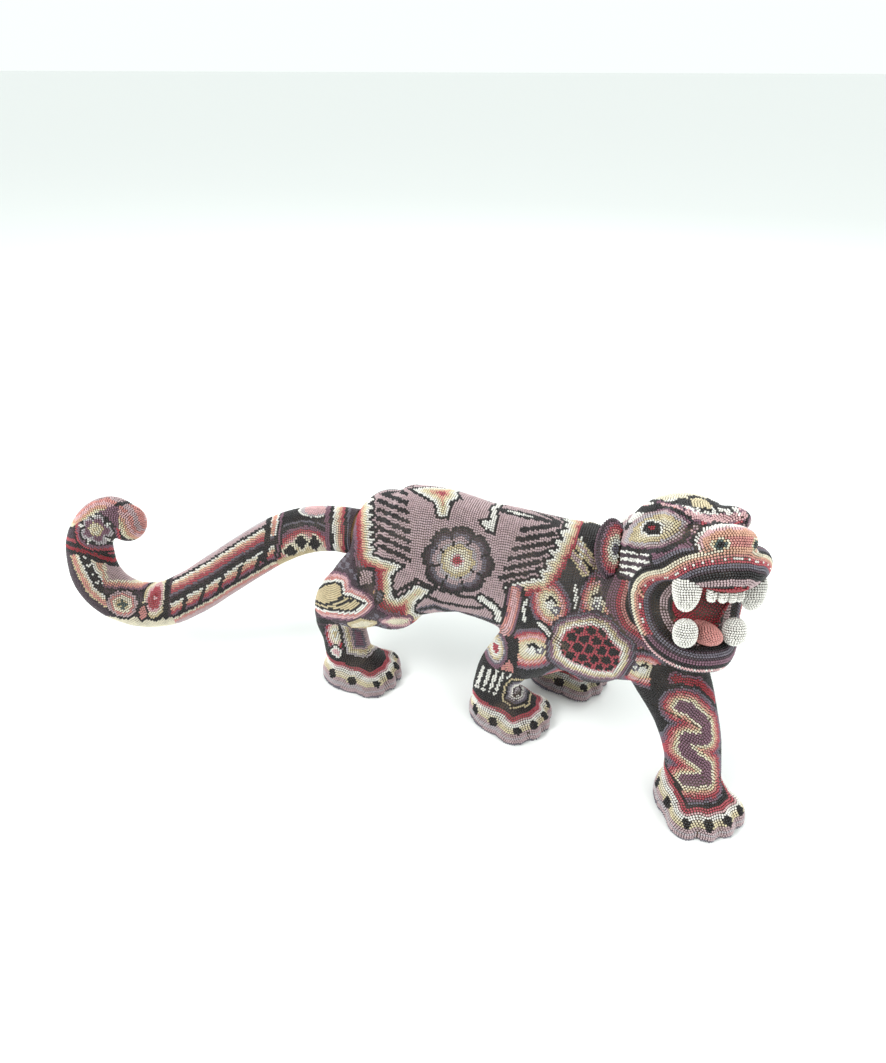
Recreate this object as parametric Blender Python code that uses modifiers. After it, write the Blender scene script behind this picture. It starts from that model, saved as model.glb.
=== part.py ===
"""Beaded wild cat: carved wooden cores, beadwork skins, inlaid teeth and a plug-in tail.

Blender 4.5 script. Metres, +Z up. +X runs from the tail to the nose, the floor is z = 0.
"""
import math

import bmesh
import bpy
from mathutils import Matrix, Vector

MM = 0.001

# ---- driving dimensions, in millimetres -------------------------------------------------
SKIN = 2.6              # wax and glass beads together
GAP = 0.3               # clearance between pieces that touch
WOOD_GAP = 0.6          # between the wood and the inside of the wax
LEG_CUT_HEIGHT = 62.0   # glue face between the legs and the body
BODY_VOXEL = 4.0        # grid that fuses the rounded masses into one surface
BODY_TRIANGLES = 3900
INNER_TRIANGLES = 1700

HEAD_CENTRE = (187.0, -38.5, 184.6)
HEAD_TURN = 57.6        # degrees towards the animal's right
HEAD_LIFT = 17.0        # degrees, muzzle up
HEAD_LEAN = 8.7         # degrees, left side down

NECK_POINT = (156.0, -14.0, 162.0)
NECK_NORMAL = (0.58, -0.42, 0.70)
BREAST_TOP = 108.0      # the head's piece ends above this height

TAIL_ROOT_X = -80.0     # flat end of the tail, seated in the rump
PEG_RADIUS = 7.0
PEG_IN_TAIL = 26.0
PEG_IN_RUMP = 30.0
PEG_CENTRE = (24.5, 146.0)   # y and z of the peg's axis, which runs along X

DOWEL_RADIUS = 5.0
DOWEL_HALF = 14.0

COLLECTION_NAME = "beaded_wild_cat"

# spine stations: x, y, z, half height
SPINE = [
    (-62.0, 25.0, 140.0, 45.0),
    (-40.0, 23.0, 137.0, 58.0),
    (-8.0, 19.0, 142.0, 54.0),
    (28.0, 15.0, 142.0, 48.0),
    (66.0, 8.0, 138.0, 52.0),
    (104.0, -2.0, 132.0, 60.0),
    (138.0, -12.0, 132.0, 58.0),
    (160.0, -20.0, 144.0, 48.0),
    (176.0, -26.0, 162.0, 42.0),
]
SPINE_WIDTH_RATIO = 0.84

# leg routes: x, y, z, radius
LEGS = {
    "hind_right": [
        (-46.0, 2.0, 122.0, 40.0),
        (-74.0, 8.0, 98.0, 32.0),
        (-99.0, 16.0, 72.0, 22.0),
        (-96.0, 18.0, 46.0, 20.0),
        (-92.0, 18.0, 18.0, 21.0),
    ],
    "fore_right": [
        (108.0, -22.0, 118.0, 36.0),
        (82.0, -16.0, 90.0, 27.0),
        (58.0, -8.0, 62.0, 20.5),
        (48.0, -4.0, 36.0, 19.0),
        (47.0, -3.0, 14.0, 21.0),
    ],
    "hind_left": [
        (-34.0, 40.0, 120.0, 38.0),
        (0.0, 54.0, 96.0, 29.0),
        (44.0, 62.0, 68.0, 20.0),
        (76.0, 64.0, 42.0, 18.0),
        (90.0, 64.0, 16.0, 20.0),
    ],
    "fore_left": [
        (160.0, 4.0, 118.0, 36.0),
        (184.0, -20.0, 88.0, 30.0),
        (202.0, -42.0, 60.0, 23.5),
        (210.0, -54.0, 34.0, 21.0),
        (211.0, -58.0, 14.0, 22.0),
    ],
}
# paw: centre x, y and heading in degrees from +X
PAWS = {
    "hind_right": (-84.0, 18.0, -4.0),
    "fore_right": (57.5, -4.0, -24.0),
    "hind_left": (98.0, 64.0, -14.0),
    "fore_left": (214.0, -68.0, -58.0),
}
PAW_RADII = (35.0, 28.0, 25.0)
TOE_RADII = (15.0, 10.0, 14.0)
TOE_SPREAD = (-20.0, -7.0, 7.0, 20.0)
# part of the floor that each leg stands over: x and y ranges
LEG_GROUND = {
    "hind_right": (-150.0, 0.0, -60.0, 80.0),
    "fore_right": (0.0, 140.0, -90.0, 31.0),
    "hind_left": (0.0, 150.0, 31.3, 130.0),
    "fore_left": (150.3, 290.0, -150.0, 60.0),
}

# tail route: x, y, z, radius
TAIL = [
    (TAIL_ROOT_X, 24.5, 146.0, 20.0),
    (-100.0, 23.0, 147.5, 19.5),
    (-122.0, 18.5, 146.0, 20.0),
    (-148.0, 12.7, 136.5, 20.5),
    (-175.0, 7.5, 119.0, 20.5),
    (-203.0, 1.6, 99.0, 20.5),
    (-232.0, -4.0, 78.5, 20.5),
    (-261.0, -10.0, 65.5, 20.5),
    (-290.0, -15.0, 67.0, 20.5),
    (-311.0, -18.5, 84.0, 21.0),
    (-317.0, -19.0, 110.0, 20.5),
    (-312.0, -16.0, 136.0, 19.0),
    (-297.0, -9.0, 149.0, 18.0),
    (-284.0, -4.0, 142.0, 16.0),
]
TAIL_TRIANGLES = 760
TAIL_INNER_TRIANGLES = 360

# rolled lip, half of the ring: forward, left, up, radius in the head's own axes
LIP = [
    (50.0, 0.0, 8.0, 11.5),
    (42.0, 20.0, 11.0, 11.5),
    (28.0, 32.0, 12.0, 12.0),
    (11.0, 36.0, 2.0, 11.5),
    (3.0, 34.0, -17.0, 11.0),
    (8.0, 28.0, -37.0, 10.5),
    (20.0, 20.0, -50.0, 10.0),
    (31.0, 0.0, -54.0, 9.5),
]
EAR = (-31.0, 45.0, 10.5)
EAR_RADII = (7.5, 12.0, 22.0)
UPPER_CANINE = (40.0, 25.0, -5.0)
UPPER_RADII = (8.5, 9.4, 13.5)
CANINE_TAPER = 0.2
LOWER_CANINE = (34.0, 19.0, -34.5)
LOWER_RADII = (8.0, 8.4, 10.0)
INCISOR_COUNT = 4
INCISOR_SPACING = 7.0
INCISOR_ARC_FRONT = 48.5
INCISOR_ARC_BEND = 0.02
INCISOR_LEVEL = -4.0
INCISOR_RADII = (3.5, 3.3, 7.0)
INCISOR_BLUNT = 0.65

COLOURS = {
    "wood": ((0.52, 0.36, 0.20), 0.75),
    "dowel": ((0.66, 0.50, 0.30), 0.7),
    "torso": ((0.33, 0.20, 0.24), 0.35),
    "head": ((0.45, 0.18, 0.20), 0.35),
    "leg": ((0.42, 0.25, 0.24), 0.35),
    "tail": ((0.50, 0.28, 0.25), 0.35),
    "ear": ((0.60, 0.22, 0.22), 0.35),
    "tooth": ((0.86, 0.86, 0.80), 0.3),
    "tongue": ((0.55, 0.06, 0.09), 0.3),
}


# ---- small helpers ----------------------------------------------------------------------
def clear_scene():
    for obj in list(bpy.data.objects):
        bpy.data.objects.remove(obj, do_unlink=True)


def make_collection(name):
    collection = bpy.data.collections.new(name)
    bpy.context.scene.collection.children.link(collection)
    return collection


def move_to(obj, collection):
    for old in list(obj.users_collection):
        old.objects.unlink(obj)
    collection.objects.link(obj)


def make_material(name, colour, roughness, metallic=0.0):
    material = bpy.data.materials.new(name)
    material.use_nodes = True
    shader = material.node_tree.nodes["Principled BSDF"]
    shader.inputs["Base Color"].default_value = (*colour, 1.0)
    shader.inputs["Roughness"].default_value = roughness
    shader.inputs["Metallic"].default_value = metallic
    return material


def bake(obj):
    """Replaces the object's mesh by what its modifiers make, at the world's origin."""
    graph = bpy.context.evaluated_depsgraph_get()
    mesh = bpy.data.meshes.new_from_object(obj.evaluated_get(graph))
    mesh.transform(obj.matrix_world)
    obj.modifiers.clear()
    obj.data = mesh
    obj.matrix_world = Matrix.Identity(4)
    return obj


def weld(obj, distance=0.00001):
    soup = bmesh.new()
    soup.from_mesh(obj.data)
    bmesh.ops.remove_doubles(soup, verts=soup.verts, dist=distance)
    soup.to_mesh(obj.data)
    soup.free()


def copy_of(obj, name):
    twin = bpy.data.objects.new(name, obj.data.copy())
    bpy.context.scene.collection.objects.link(twin)
    return twin


def remove(*objects):
    for obj in objects:
        bpy.data.objects.remove(obj, do_unlink=True)


def ellipsoid(centre, radii, frame=None, segments=24, rings=14, blunt=1.0, taper=0.0):
    """A ball of the given half lengths; blunt under 1 squares it and taper widens its top."""
    bpy.ops.mesh.primitive_uv_sphere_add(segments=segments, ring_count=rings, radius=1.0)
    ball = bpy.context.object
    for corner in ball.data.vertices:
        x, y, z = (math.copysign(abs(c) ** blunt, c) for c in corner.co)
        corner.co = (x * (1 + taper * z), y * (1 + taper * z), z)
    place = Matrix.Translation(Vector(centre) * MM)
    size = Matrix.Diagonal((*[r * MM for r in radii], 1.0))
    ball.data.transform((frame or Matrix.Identity(4)) @ place @ size)
    return ball


def tube(stations, width_ratio=1.0, resolution=6, closed=False):
    """A closed tube through stations (x, y, z, radius) with an upright oval section."""
    section = bpy.data.curves.new("section", "CURVE")
    section.dimensions = "2D"
    outline = section.splines.new("POLY")
    sides = 20
    outline.points.add(sides - 1)
    for i in range(sides):
        angle = 2.0 * math.pi * i / sides
        x, y = width_ratio * math.cos(angle), math.sin(angle)
        outline.points[i].co = (x * MM, y * MM, 0.0, 1.0)
    outline.use_cyclic_u = True
    section_obj = bpy.data.objects.new("section", section)
    bpy.context.scene.collection.objects.link(section_obj)

    route = bpy.data.curves.new("route", "CURVE")
    route.dimensions = "3D"
    route.twist_mode = "Z_UP"
    route.resolution_u = resolution
    route.bevel_mode = "OBJECT"
    route.bevel_object = section_obj
    route.use_fill_caps = True
    spline = route.splines.new("BEZIER")
    spline.bezier_points.add(len(stations) - 1)
    for point, (x, y, z, radius) in zip(spline.bezier_points, stations):
        point.co = Vector((x, y, z)) * MM
        point.radius = radius
        point.handle_left_type = "AUTO"
        point.handle_right_type = "AUTO"
    spline.use_cyclic_u = closed
    route_obj = bpy.data.objects.new("route", route)
    bpy.context.scene.collection.objects.link(route_obj)
    graph = bpy.context.evaluated_depsgraph_get()
    mesh = bpy.data.meshes.new_from_object(route_obj.evaluated_get(graph))
    result = bpy.data.objects.new("tube", mesh)
    bpy.context.scene.collection.objects.link(result)
    remove(route_obj, section_obj)
    weld(result)
    return result


def box(centre, half_sizes, turn=None):
    bpy.ops.mesh.primitive_cube_add(size=2.0)
    cube = bpy.context.object
    place = Matrix.Translation(Vector(centre) * MM)
    size = Matrix.Diagonal((*[h * MM for h in half_sizes], 1.0))
    cube.data.transform(place @ (turn or Matrix.Identity(4)) @ size)
    return cube


def rod(start, end, radius, sides=20):
    """A cylinder between two points."""
    start, end = Vector(start) * MM, Vector(end) * MM
    axis = end - start
    bpy.ops.mesh.primitive_cylinder_add(vertices=sides, radius=radius * MM, depth=axis.length)
    cylinder = bpy.context.object
    turn = axis.to_track_quat("Z", "Y").to_matrix().to_4x4()
    cylinder.data.transform(Matrix.Translation((start + end) / 2.0) @ turn)
    return cylinder


def join(objects, name):
    """Joins meshes into one object; the bodies still pass through each other."""
    soup = bmesh.new()
    for obj in objects:
        soup.from_mesh(obj.data)
    mesh = bpy.data.meshes.new(name)
    soup.to_mesh(mesh)
    soup.free()
    remove(*objects)
    result = bpy.data.objects.new(name, mesh)
    bpy.context.scene.collection.objects.link(result)
    return result


def fuse(obj, voxel, smoothing, triangles):
    """One smooth closed skin round everything in obj."""
    remesh = obj.modifiers.new("fuse", "REMESH")
    remesh.mode = "VOXEL"
    remesh.voxel_size = voxel * MM
    smooth = obj.modifiers.new("smooth", "SMOOTH")
    smooth.iterations = smoothing
    smooth.factor = 0.5
    bake(obj)
    thin(obj, triangles)
    return obj


def thin(obj, triangles):
    count = sum(len(p.vertices) - 2 for p in obj.data.polygons)
    decimate = obj.modifiers.new("thin", "DECIMATE")
    decimate.ratio = min(1.0, triangles / count)
    decimate.use_collapse_triangulate = True
    bake(obj)


def shift_surface(obj, distance):
    """Moves the surface along its own normals by distance, in millimetres."""
    normals = [v.normal.copy() for v in obj.data.vertices]
    for vertex, normal in zip(obj.data.vertices, normals):
        vertex.co += normal * distance * MM
    obj.data.update()


def boolean(obj, cutter, operation):
    step = obj.modifiers.new(operation.lower(), "BOOLEAN")
    step.operation = operation
    step.solver = "EXACT"
    step.object = cutter
    bake(obj)
    weld(obj, 0.000002)
    return obj


def cut_away(obj, cutter):
    return boolean(obj, cutter, "DIFFERENCE")


# ---- frames -----------------------------------------------------------------------------
def head_frame():
    """Head axes: +X out of the muzzle, +Y to the animal's left, +Z up through the crown."""
    turn = Matrix.Rotation(math.radians(-HEAD_TURN), 4, "Z")
    lift = Matrix.Rotation(math.radians(-HEAD_LIFT), 4, "Y")
    lean = Matrix.Rotation(math.radians(-HEAD_LEAN), 4, "X")
    return Matrix.Translation(Vector(HEAD_CENTRE) * MM) @ turn @ lift @ lean


def paw_frame(name):
    x, y, heading = PAWS[name]
    turn = Matrix.Rotation(math.radians(heading), 4, "Z")
    return Matrix.Translation(Vector((x, y, 0.0)) * MM) @ turn


def mirrored(point, side):
    return (point[0], point[1] * side, point[2])


# ---- the animal's outer form ------------------------------------------------------------
def torso_bodies():
    return [
        tube(SPINE, width_ratio=SPINE_WIDTH_RATIO),
        ellipsoid((-52, 24, 138), (33, 42, 49)),      # rump
        ellipsoid((-46, 0, 118), (36, 26, 46)),       # right haunch
        ellipsoid((-34, 46, 118), (38, 24, 44)),      # left haunch
        ellipsoid((128, -30, 118), (36, 28, 44)),     # right shoulder
        ellipsoid((144, 14, 120), (36, 28, 42)),      # left shoulder
        ellipsoid((150, -22, 112), (36, 32, 34)),     # breast
        ellipsoid((150, -4, 160), (34, 38, 38)),      # neck
        ellipsoid((158, -8, 172), (34, 38, 36)),      # nape
    ]


def paw_bodies(name):
    frame = paw_frame(name)
    bodies = [ellipsoid((0, 0, 5), PAW_RADII, frame)]
    for side in TOE_SPREAD:
        forward = 25.0 - 0.018 * side * side
        bodies.append(ellipsoid((forward, side, 5), TOE_RADII, frame))
    return bodies


def lip_ring(frame):
    """The rolled lip, a closed ring round the open mouth."""
    left = LIP[1:-1]
    right = [(f, -side, up, radius) for f, side, up, radius in reversed(left)]
    ring = tube([LIP[0]] + left + [LIP[-1]] + right, closed=True)
    ring.data.transform(frame)
    return ring


def head_bodies():
    frame = head_frame()
    bodies = [
        ellipsoid((-10, 0, 12), (42, 44, 42), frame),       # skull
        ellipsoid((24, 0, 22), (30, 24, 18), frame),        # muzzle
        ellipsoid((45, 0, 29), (14, 20, 12), frame),        # nose
        ellipsoid((-22, 0, -22), (32, 34, 36), frame),      # throat
        ellipsoid((2, 0, -36), (26, 26, 24), frame),        # lower jaw
        ellipsoid((10, 0, -8), (26, 28, 30), frame),        # inside of the mouth
    ]
    for side in (-1, 1):
        bodies.append(ellipsoid((2, 24 * side, 14), (28, 18, 24), frame))    # cheek
        bodies.append(ellipsoid((16, 19 * side, 40), (17, 13, 9), frame))    # brow
    return bodies


def mouth_cutter():
    """The hollow of the open mouth inside the rolled lip."""
    return ellipsoid((47, 0, -20), (34, 31, 20), head_frame())


def body_form():
    """Torso, legs, paws, neck and head as one smooth closed surface."""
    head = fuse(join(head_bodies(), "head"), 3.0, 3, 8000)
    mouth = mouth_cutter()
    cut_away(head, mouth)
    remove(mouth)
    bodies = torso_bodies() + [head, lip_ring(head_frame())]
    for route in LEGS.values():
        bodies.append(tube(route))
    for name in PAWS:
        bodies += paw_bodies(name)
    return fuse(join(bodies, "body_form"), BODY_VOXEL, 4, BODY_TRIANGLES)


def tail_form():
    """The tail's surface, with the root left long so that it can be cut flat."""
    first = TAIL[0]
    root = (first[0] + 24.0, first[1], first[2], first[3])
    return fuse(join([tube([root] + TAIL), knob()], "tail_form"), BODY_VOXEL, 3, TAIL_TRIANGLES)


def knob():
    return ellipsoid(TAIL[-1][:3], (16.5, 16.5, 16.5))


def inner_forms(form, triangles):
    """The inside of the wax, and the carved wood that stands a little clear of it."""
    inner = copy_of(form, form.name + "_inner")
    shift_surface(inner, -SKIN)
    fuse(inner, BODY_VOXEL * 0.8, 3, triangles)
    wood = copy_of(inner, form.name + "_wood")
    shift_surface(wood, -WOOD_GAP)
    return inner, wood


def clear_of_skin(core, skin):
    """Trims the wood wherever it comes closer than the gap to its own skin."""
    grown = copy_of(skin, "grown_skin")
    shift_surface(grown, GAP)
    cut_away(core, grown)
    remove(grown)
    keep_largest(core)
    return core


# ---- cutting the form into its pieces ---------------------------------------------------
def neck_half_space(gap):
    """A large block whose near face is the neck's glue face."""
    normal = Vector(NECK_NORMAL).normalized()
    turn = normal.to_track_quat("X", "Z").to_matrix().to_4x4()
    half = 130.0
    centre = Vector(NECK_POINT) + normal * (half + gap)
    block = box(centre, (half, half, half), turn)
    return with_cutter(block, above(BREAST_TOP + gap), "INTERSECT")


def above(height):
    half = 200.0
    return box((0, 0, height + half), (2 * half, 2 * half, half))


def leg_block(name, gap):
    x0, x1, y0, y1 = LEG_GROUND[name]
    top = LEG_CUT_HEIGHT - gap
    return box(((x0 + x1) / 2, (y0 + y1) / 2, top / 2), ((x1 - x0) / 2, (y1 - y0) / 2, top / 2))


def with_cutter(obj, cutter, operation):
    boolean(obj, cutter, operation)
    remove(cutter)
    return obj


def carve(form, name, region):
    """A copy of form kept inside the region: a list of (cutter function, operation)."""
    piece = copy_of(form, name)
    for make_cutter, operation in region:
        with_cutter(piece, make_cutter(), operation)
    return piece


def hollow(shell, inner):
    boolean(shell, inner, "DIFFERENCE")
    keep_largest(shell)
    return shell


def keep_largest(obj):
    """Drops loose slivers that a cut may leave."""
    soup = bmesh.new()
    soup.from_mesh(obj.data)
    groups = []
    seen = set()
    for face in soup.faces:
        if face in seen:
            continue
        stack, group = [face], []
        seen.add(face)
        while stack:
            current = stack.pop()
            group.append(current)
            for edge in current.edges:
                for other in edge.link_faces:
                    if other not in seen:
                        seen.add(other)
                        stack.append(other)
        groups.append(group)
    groups.sort(key=len)
    for group in groups[:-1]:
        bmesh.ops.delete(soup, geom=group, context="FACES")
    loose = [v for v in soup.verts if not v.link_faces]
    bmesh.ops.delete(soup, geom=loose, context="VERTS")
    soup.to_mesh(obj.data)
    soup.free()


TORSO_REGION = [
    (lambda: above(LEG_CUT_HEIGHT + GAP / 2), "INTERSECT"),
    (lambda: neck_half_space(-GAP / 2), "DIFFERENCE"),
]
HEAD_REGION = [(lambda: neck_half_space(GAP / 2), "INTERSECT")]


def leg_region(name):
    return [(lambda: leg_block(name, GAP / 2), "INTERSECT")]


# ---- dowels, peg and their bores --------------------------------------------------------
def leg_axis(name):
    """Where the leg's middle line passes its glue face."""
    route = LEGS[name]
    for low, high in zip(route[1:], route):
        if low[2] <= LEG_CUT_HEIGHT <= high[2]:
            t = (LEG_CUT_HEIGHT - low[2]) / (high[2] - low[2])
            return Vector(low[:3]).lerp(Vector(high[:3]), t)
    raise ValueError(name)


def dowel(centre, axis, extra=0.0):
    axis = Vector(axis).normalized()
    reach = axis * (DOWEL_HALF + extra)
    return rod(Vector(centre) - reach, Vector(centre) + reach, DOWEL_RADIUS + extra, 16)


def leg_dowel(name, extra=0.0):
    return dowel(leg_axis(name), (0, 0, 1), extra)


def neck_dowel(extra=0.0):
    return dowel(NECK_POINT, NECK_NORMAL, extra)


def peg(extra=0.0):
    y, z = PEG_CENTRE
    start = (TAIL_ROOT_X - PEG_IN_TAIL - extra, y, z)
    end = (TAIL_ROOT_X + PEG_IN_RUMP + extra, y, z)
    return rod(start, end, PEG_RADIUS + extra)


def tail_seat():
    """The round recess in the rump that the tail's root sits in."""
    y, z = PEG_CENTRE
    radius = TAIL[0][3] + 2 * GAP
    return rod((TAIL_ROOT_X - 60.0, y, z), (TAIL_ROOT_X + GAP, y, z), radius, 40)


# ---- pieces -----------------------------------------------------------------------------
def build_body(pieces):
    form = body_form()
    inner, wood = inner_forms(form, INNER_TRIANGLES)
    touching = copy_of(form, "touching_form")
    shift_surface(touching, 3 * GAP)
    fuse(touching, BODY_VOXEL * 0.7, 0, BODY_TRIANGLES)

    torso = carve(form, "torso_beadwork", TORSO_REGION)
    with_cutter(torso, tail_seat(), "DIFFERENCE")
    with_cutter(torso, peg(GAP), "DIFFERENCE")
    pieces["torso_beadwork"] = (hollow(torso, inner), "torso")
    head = hollow(carve(form, "head_beadwork", HEAD_REGION), inner)
    pieces["head_beadwork"] = (head, "head")

    torso_core = carve(wood, "torso_core", TORSO_REGION)
    with_cutter(torso_core, tail_seat(), "DIFFERENCE")
    with_cutter(torso_core, peg(GAP), "DIFFERENCE")
    with_cutter(torso_core, neck_dowel(GAP), "DIFFERENCE")
    head_core = carve(wood, "head_core", HEAD_REGION)
    with_cutter(head_core, neck_dowel(GAP), "DIFFERENCE")
    for name in LEGS:
        with_cutter(torso_core, leg_dowel(name, GAP), "DIFFERENCE")
        skin = carve(form, name + "_leg_beadwork", leg_region(name))
        pieces[name + "_leg_beadwork"] = (hollow(skin, inner), "leg")
        core = carve(wood, name + "_leg_core", leg_region(name))
        with_cutter(core, leg_dowel(name, GAP), "DIFFERENCE")
        clear_of_skin(core, skin)
        pieces[name + "_leg_core"] = (core, "wood")
        pieces[name + "_leg_dowel"] = (leg_dowel(name), "dowel")
    pieces["torso_core"] = (clear_of_skin(torso_core, torso), "wood")
    pieces["head_core"] = (clear_of_skin(head_core, head), "wood")
    pieces["neck_dowel"] = (neck_dowel(), "dowel")
    add_head_details(pieces, touching)
    remove(form, inner, wood, touching)


def tooth(centre, radii, blunt, taper):
    return ellipsoid(centre, radii, head_frame(), 14, 9, blunt, taper)


def incisor(number):
    """One of the small front teeth, set in an arc under the lip."""
    side = INCISOR_SPACING * (number - (INCISOR_COUNT - 1) / 2.0)
    forward = INCISOR_ARC_FRONT - side * side * INCISOR_ARC_BEND
    return tooth((forward, side, INCISOR_LEVEL), INCISOR_RADII, INCISOR_BLUNT, 0.0)


def add_head_details(pieces, touching):
    frame = head_frame()
    for label, side in (("left", 1), ("right", -1)):
        ear = ellipsoid(mirrored(EAR, side), EAR_RADII, frame, 20, 14)
        pieces["ear_" + label] = (ear, "ear")
        pieces["upper_canine_" + label] = (
            tooth(mirrored(UPPER_CANINE, side), UPPER_RADII, 0.85, CANINE_TAPER), "tooth")
        pieces["lower_canine_" + label] = (
            tooth(mirrored(LOWER_CANINE, side), LOWER_RADII, 0.9, 0.0), "tooth")
    for number in range(INCISOR_COUNT):
        pieces["incisor_%d" % (number + 1)] = (incisor(number), "tooth")
    pieces["tongue"] = (ellipsoid((25, 0, -37), (20, 10.0, 8.0), frame, 20, 12), "tongue")
    fitted = ("ear", "upper", "lower", "incisor", "tongue")
    for name in [name for name in pieces if name.startswith(fitted)]:
        piece = pieces[name][0]
        cut_away(piece, touching)
        keep_largest(piece)


def build_tail(pieces):
    form = tail_form()
    inner, wood = inner_forms(form, TAIL_INNER_TRIANGLES)
    side = [(lambda: box((TAIL_ROOT_X - 200.0, 0, 100), (200, 200, 200)), "INTERSECT")]
    skin = hollow(carve(form, "tail_beadwork", side), inner)
    core = carve(wood, "tail_core", side)
    with_cutter(core, peg(GAP), "DIFFERENCE")
    clear_of_skin(core, skin)
    pieces["tail_beadwork"] = (skin, "tail")
    pieces["tail_core"] = (core, "wood")
    pieces["tail_peg"] = (peg(), "dowel")
    remove(form, inner, wood)


def finish_pieces(pieces):
    """Names, materials, smooth shading and one collection for every piece."""
    collection = make_collection(COLLECTION_NAME)
    materials = {}
    for key, (colour, roughness) in COLOURS.items():
        materials[key] = make_material(key, colour, roughness)
    for name, (piece, finish) in pieces.items():
        piece.name = name
        piece.data.name = name
        piece.data.materials.clear()
        piece.data.materials.append(materials[finish])
        move_to(piece, collection)
        piece.data.shade_smooth()
        piece.data.set_sharp_from_angle(angle=math.radians(40))


def centre_on_floor(pieces):
    """Moves the model so that its origin is the middle of its box, on the floor."""
    corners = [Vector(v.co) for piece, _ in pieces.values() for v in piece.data.vertices]
    middle_x = (min(c.x for c in corners) + max(c.x for c in corners)) / 2.0
    middle_y = (min(c.y for c in corners) + max(c.y for c in corners)) / 2.0
    lowest = min(c.z for c in corners)
    shift = Matrix.Translation((-middle_x, -middle_y, -lowest))
    for piece, _ in pieces.values():
        piece.data.transform(shift)


def build():
    clear_scene()
    pieces = {}
    build_body(pieces)
    build_tail(pieces)
    centre_on_floor(pieces)
    finish_pieces(pieces)


if __name__ == "__main__":
    build()
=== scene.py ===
import heapq
import math

import bmesh
import bpy
import numpy as np
from mathutils import Matrix, Vector
from mathutils.bvhtree import BVHTree
from mathutils.kdtree import KDTree


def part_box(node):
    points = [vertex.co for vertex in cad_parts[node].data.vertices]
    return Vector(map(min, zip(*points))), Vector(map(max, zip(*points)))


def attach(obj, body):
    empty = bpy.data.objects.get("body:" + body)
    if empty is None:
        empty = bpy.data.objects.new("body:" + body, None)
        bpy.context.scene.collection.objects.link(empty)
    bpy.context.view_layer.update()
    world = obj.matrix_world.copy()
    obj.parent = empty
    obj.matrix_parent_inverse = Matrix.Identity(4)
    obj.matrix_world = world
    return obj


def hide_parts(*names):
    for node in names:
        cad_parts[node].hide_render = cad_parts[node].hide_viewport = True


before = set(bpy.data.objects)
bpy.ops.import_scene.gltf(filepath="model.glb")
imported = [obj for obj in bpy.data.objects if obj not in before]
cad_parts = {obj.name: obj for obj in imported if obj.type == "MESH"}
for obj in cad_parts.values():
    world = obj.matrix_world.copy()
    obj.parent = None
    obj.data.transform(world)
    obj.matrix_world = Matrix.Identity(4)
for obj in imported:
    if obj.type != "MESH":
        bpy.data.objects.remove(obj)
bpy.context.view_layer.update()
print("frame loaded")

mm = 0.001

# the carver's own zero, found from the tail peg, so every mass below sits where the frame has it
pegLow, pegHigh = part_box("tail_peg")
carverZero = Vector((pegLow[0] + 0.106, (pegLow[1] + pegHigh[1]) / 2 - 0.0245, 0.0))

beads = {
    "pitch": 2.05,        # along a row, mm
    "rowPitch": 1.82,     # between rows, mm
    "radius": 0.99,       # mm
    "height": 1.25,       # how far a bead stands out of the wax, mm
    "closest": 1.62,      # two beads never sit nearer than this, mm
    "sizeSpread": 0.05,
    "seed": 7,
}
form = {"grid": 2.2, "smoothing": 5, "waxGrid": 3.0, "waxThickness": 1.3}     # mm, and smoothing passes
spineStations = [     # x, y, z and radius of the round sections, mm, in the carver's own frame
    (-62, 25, 140, 45), (-40, 23, 137, 58), (-8, 19, 142, 54), (28, 15, 142, 48), (66, 8, 138, 52),
    (104, -2, 132, 60), (138, -12, 132, 58), (160, -20, 144, 48), (176, -26, 162, 42),
]
legRoutes = {     # the same along each leg, from the body down
    "hindRight": [
        (-46, 2, 122, 40), (-74, 8, 98, 32), (-99, 16, 72, 22), (-96, 18, 46, 20), (-92, 18, 18, 21),
    ],
    "foreRight": [
        (108, -22, 118, 36), (82, -16, 90, 27), (58, -8, 62, 20.5), (48, -4, 36, 19), (47, -3, 14, 21),
    ],
    "hindLeft": [
        (-34, 40, 120, 38), (0, 54, 96, 29), (44, 62, 68, 20), (76, 64, 42, 18), (90, 64, 16, 20),
    ],
    "foreLeft": [
        (160, 4, 118, 36), (184, -20, 88, 30), (202, -42, 60, 23.5), (210, -54, 34, 21), (211, -58, 14, 22),
    ],
}
paws = {     # centre x, y and heading in degrees
    "hindRight": (-84, 18, -4), "foreRight": (57.5, -4, -24),
    "hindLeft": (98, 64, -14), "foreLeft": (214, -68, -58),
}
pawShape = {"pad": (35, 28, 25), "toe": (15, 10, 14), "spread": (-20, -7, 7, 20)}
tailStations = [     # the same along the tail, from its root to the curl
    (-80, 24.5, 146, 20), (-100, 23, 147.5, 19.5), (-122, 18.5, 146, 20), (-148, 12.7, 136.5, 20.5),
    (-175, 7.5, 119, 20.5), (-203, 1.6, 99, 20.5), (-232, -4, 78.5, 20.5), (-261, -10, 65.5, 20.5),
    (-290, -15, 67, 20.5), (-311, -18.5, 84, 21), (-317, -19, 110, 20.5), (-312, -16, 136, 19),
    (-297, -9, 149, 18), (-284, -4, 142, 16),
]
# where the head sits and how it is turned, lifted and leaned, in degrees
head = {"centre": (187, -38.5, 184.6), "turn": 57.6, "lift": 17.0, "lean": 8.7}
mouthHollow = {"centre": (47, 0, -20), "radii": (34, 31, 20)}
lipHalf = [    # forward, left, up, radius
    (50, 0, 8, 11.5), (42, 20, 11, 11.5), (28, 32, 12, 12), (11, 36, 2, 11.5),
    (3, 34, -17, 11), (8, 28, -37, 10.5), (20, 20, -50, 10), (31, 0, -54, 9.5),
]


def headFrame():
    turn = Matrix.Rotation(math.radians(-head["turn"]), 4, "Z")
    lift = Matrix.Rotation(math.radians(-head["lift"]), 4, "Y")
    lean = Matrix.Rotation(math.radians(-head["lean"]), 4, "X")
    return Matrix.Translation(Vector(head["centre"]) * mm) @ turn @ lift @ lean


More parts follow.
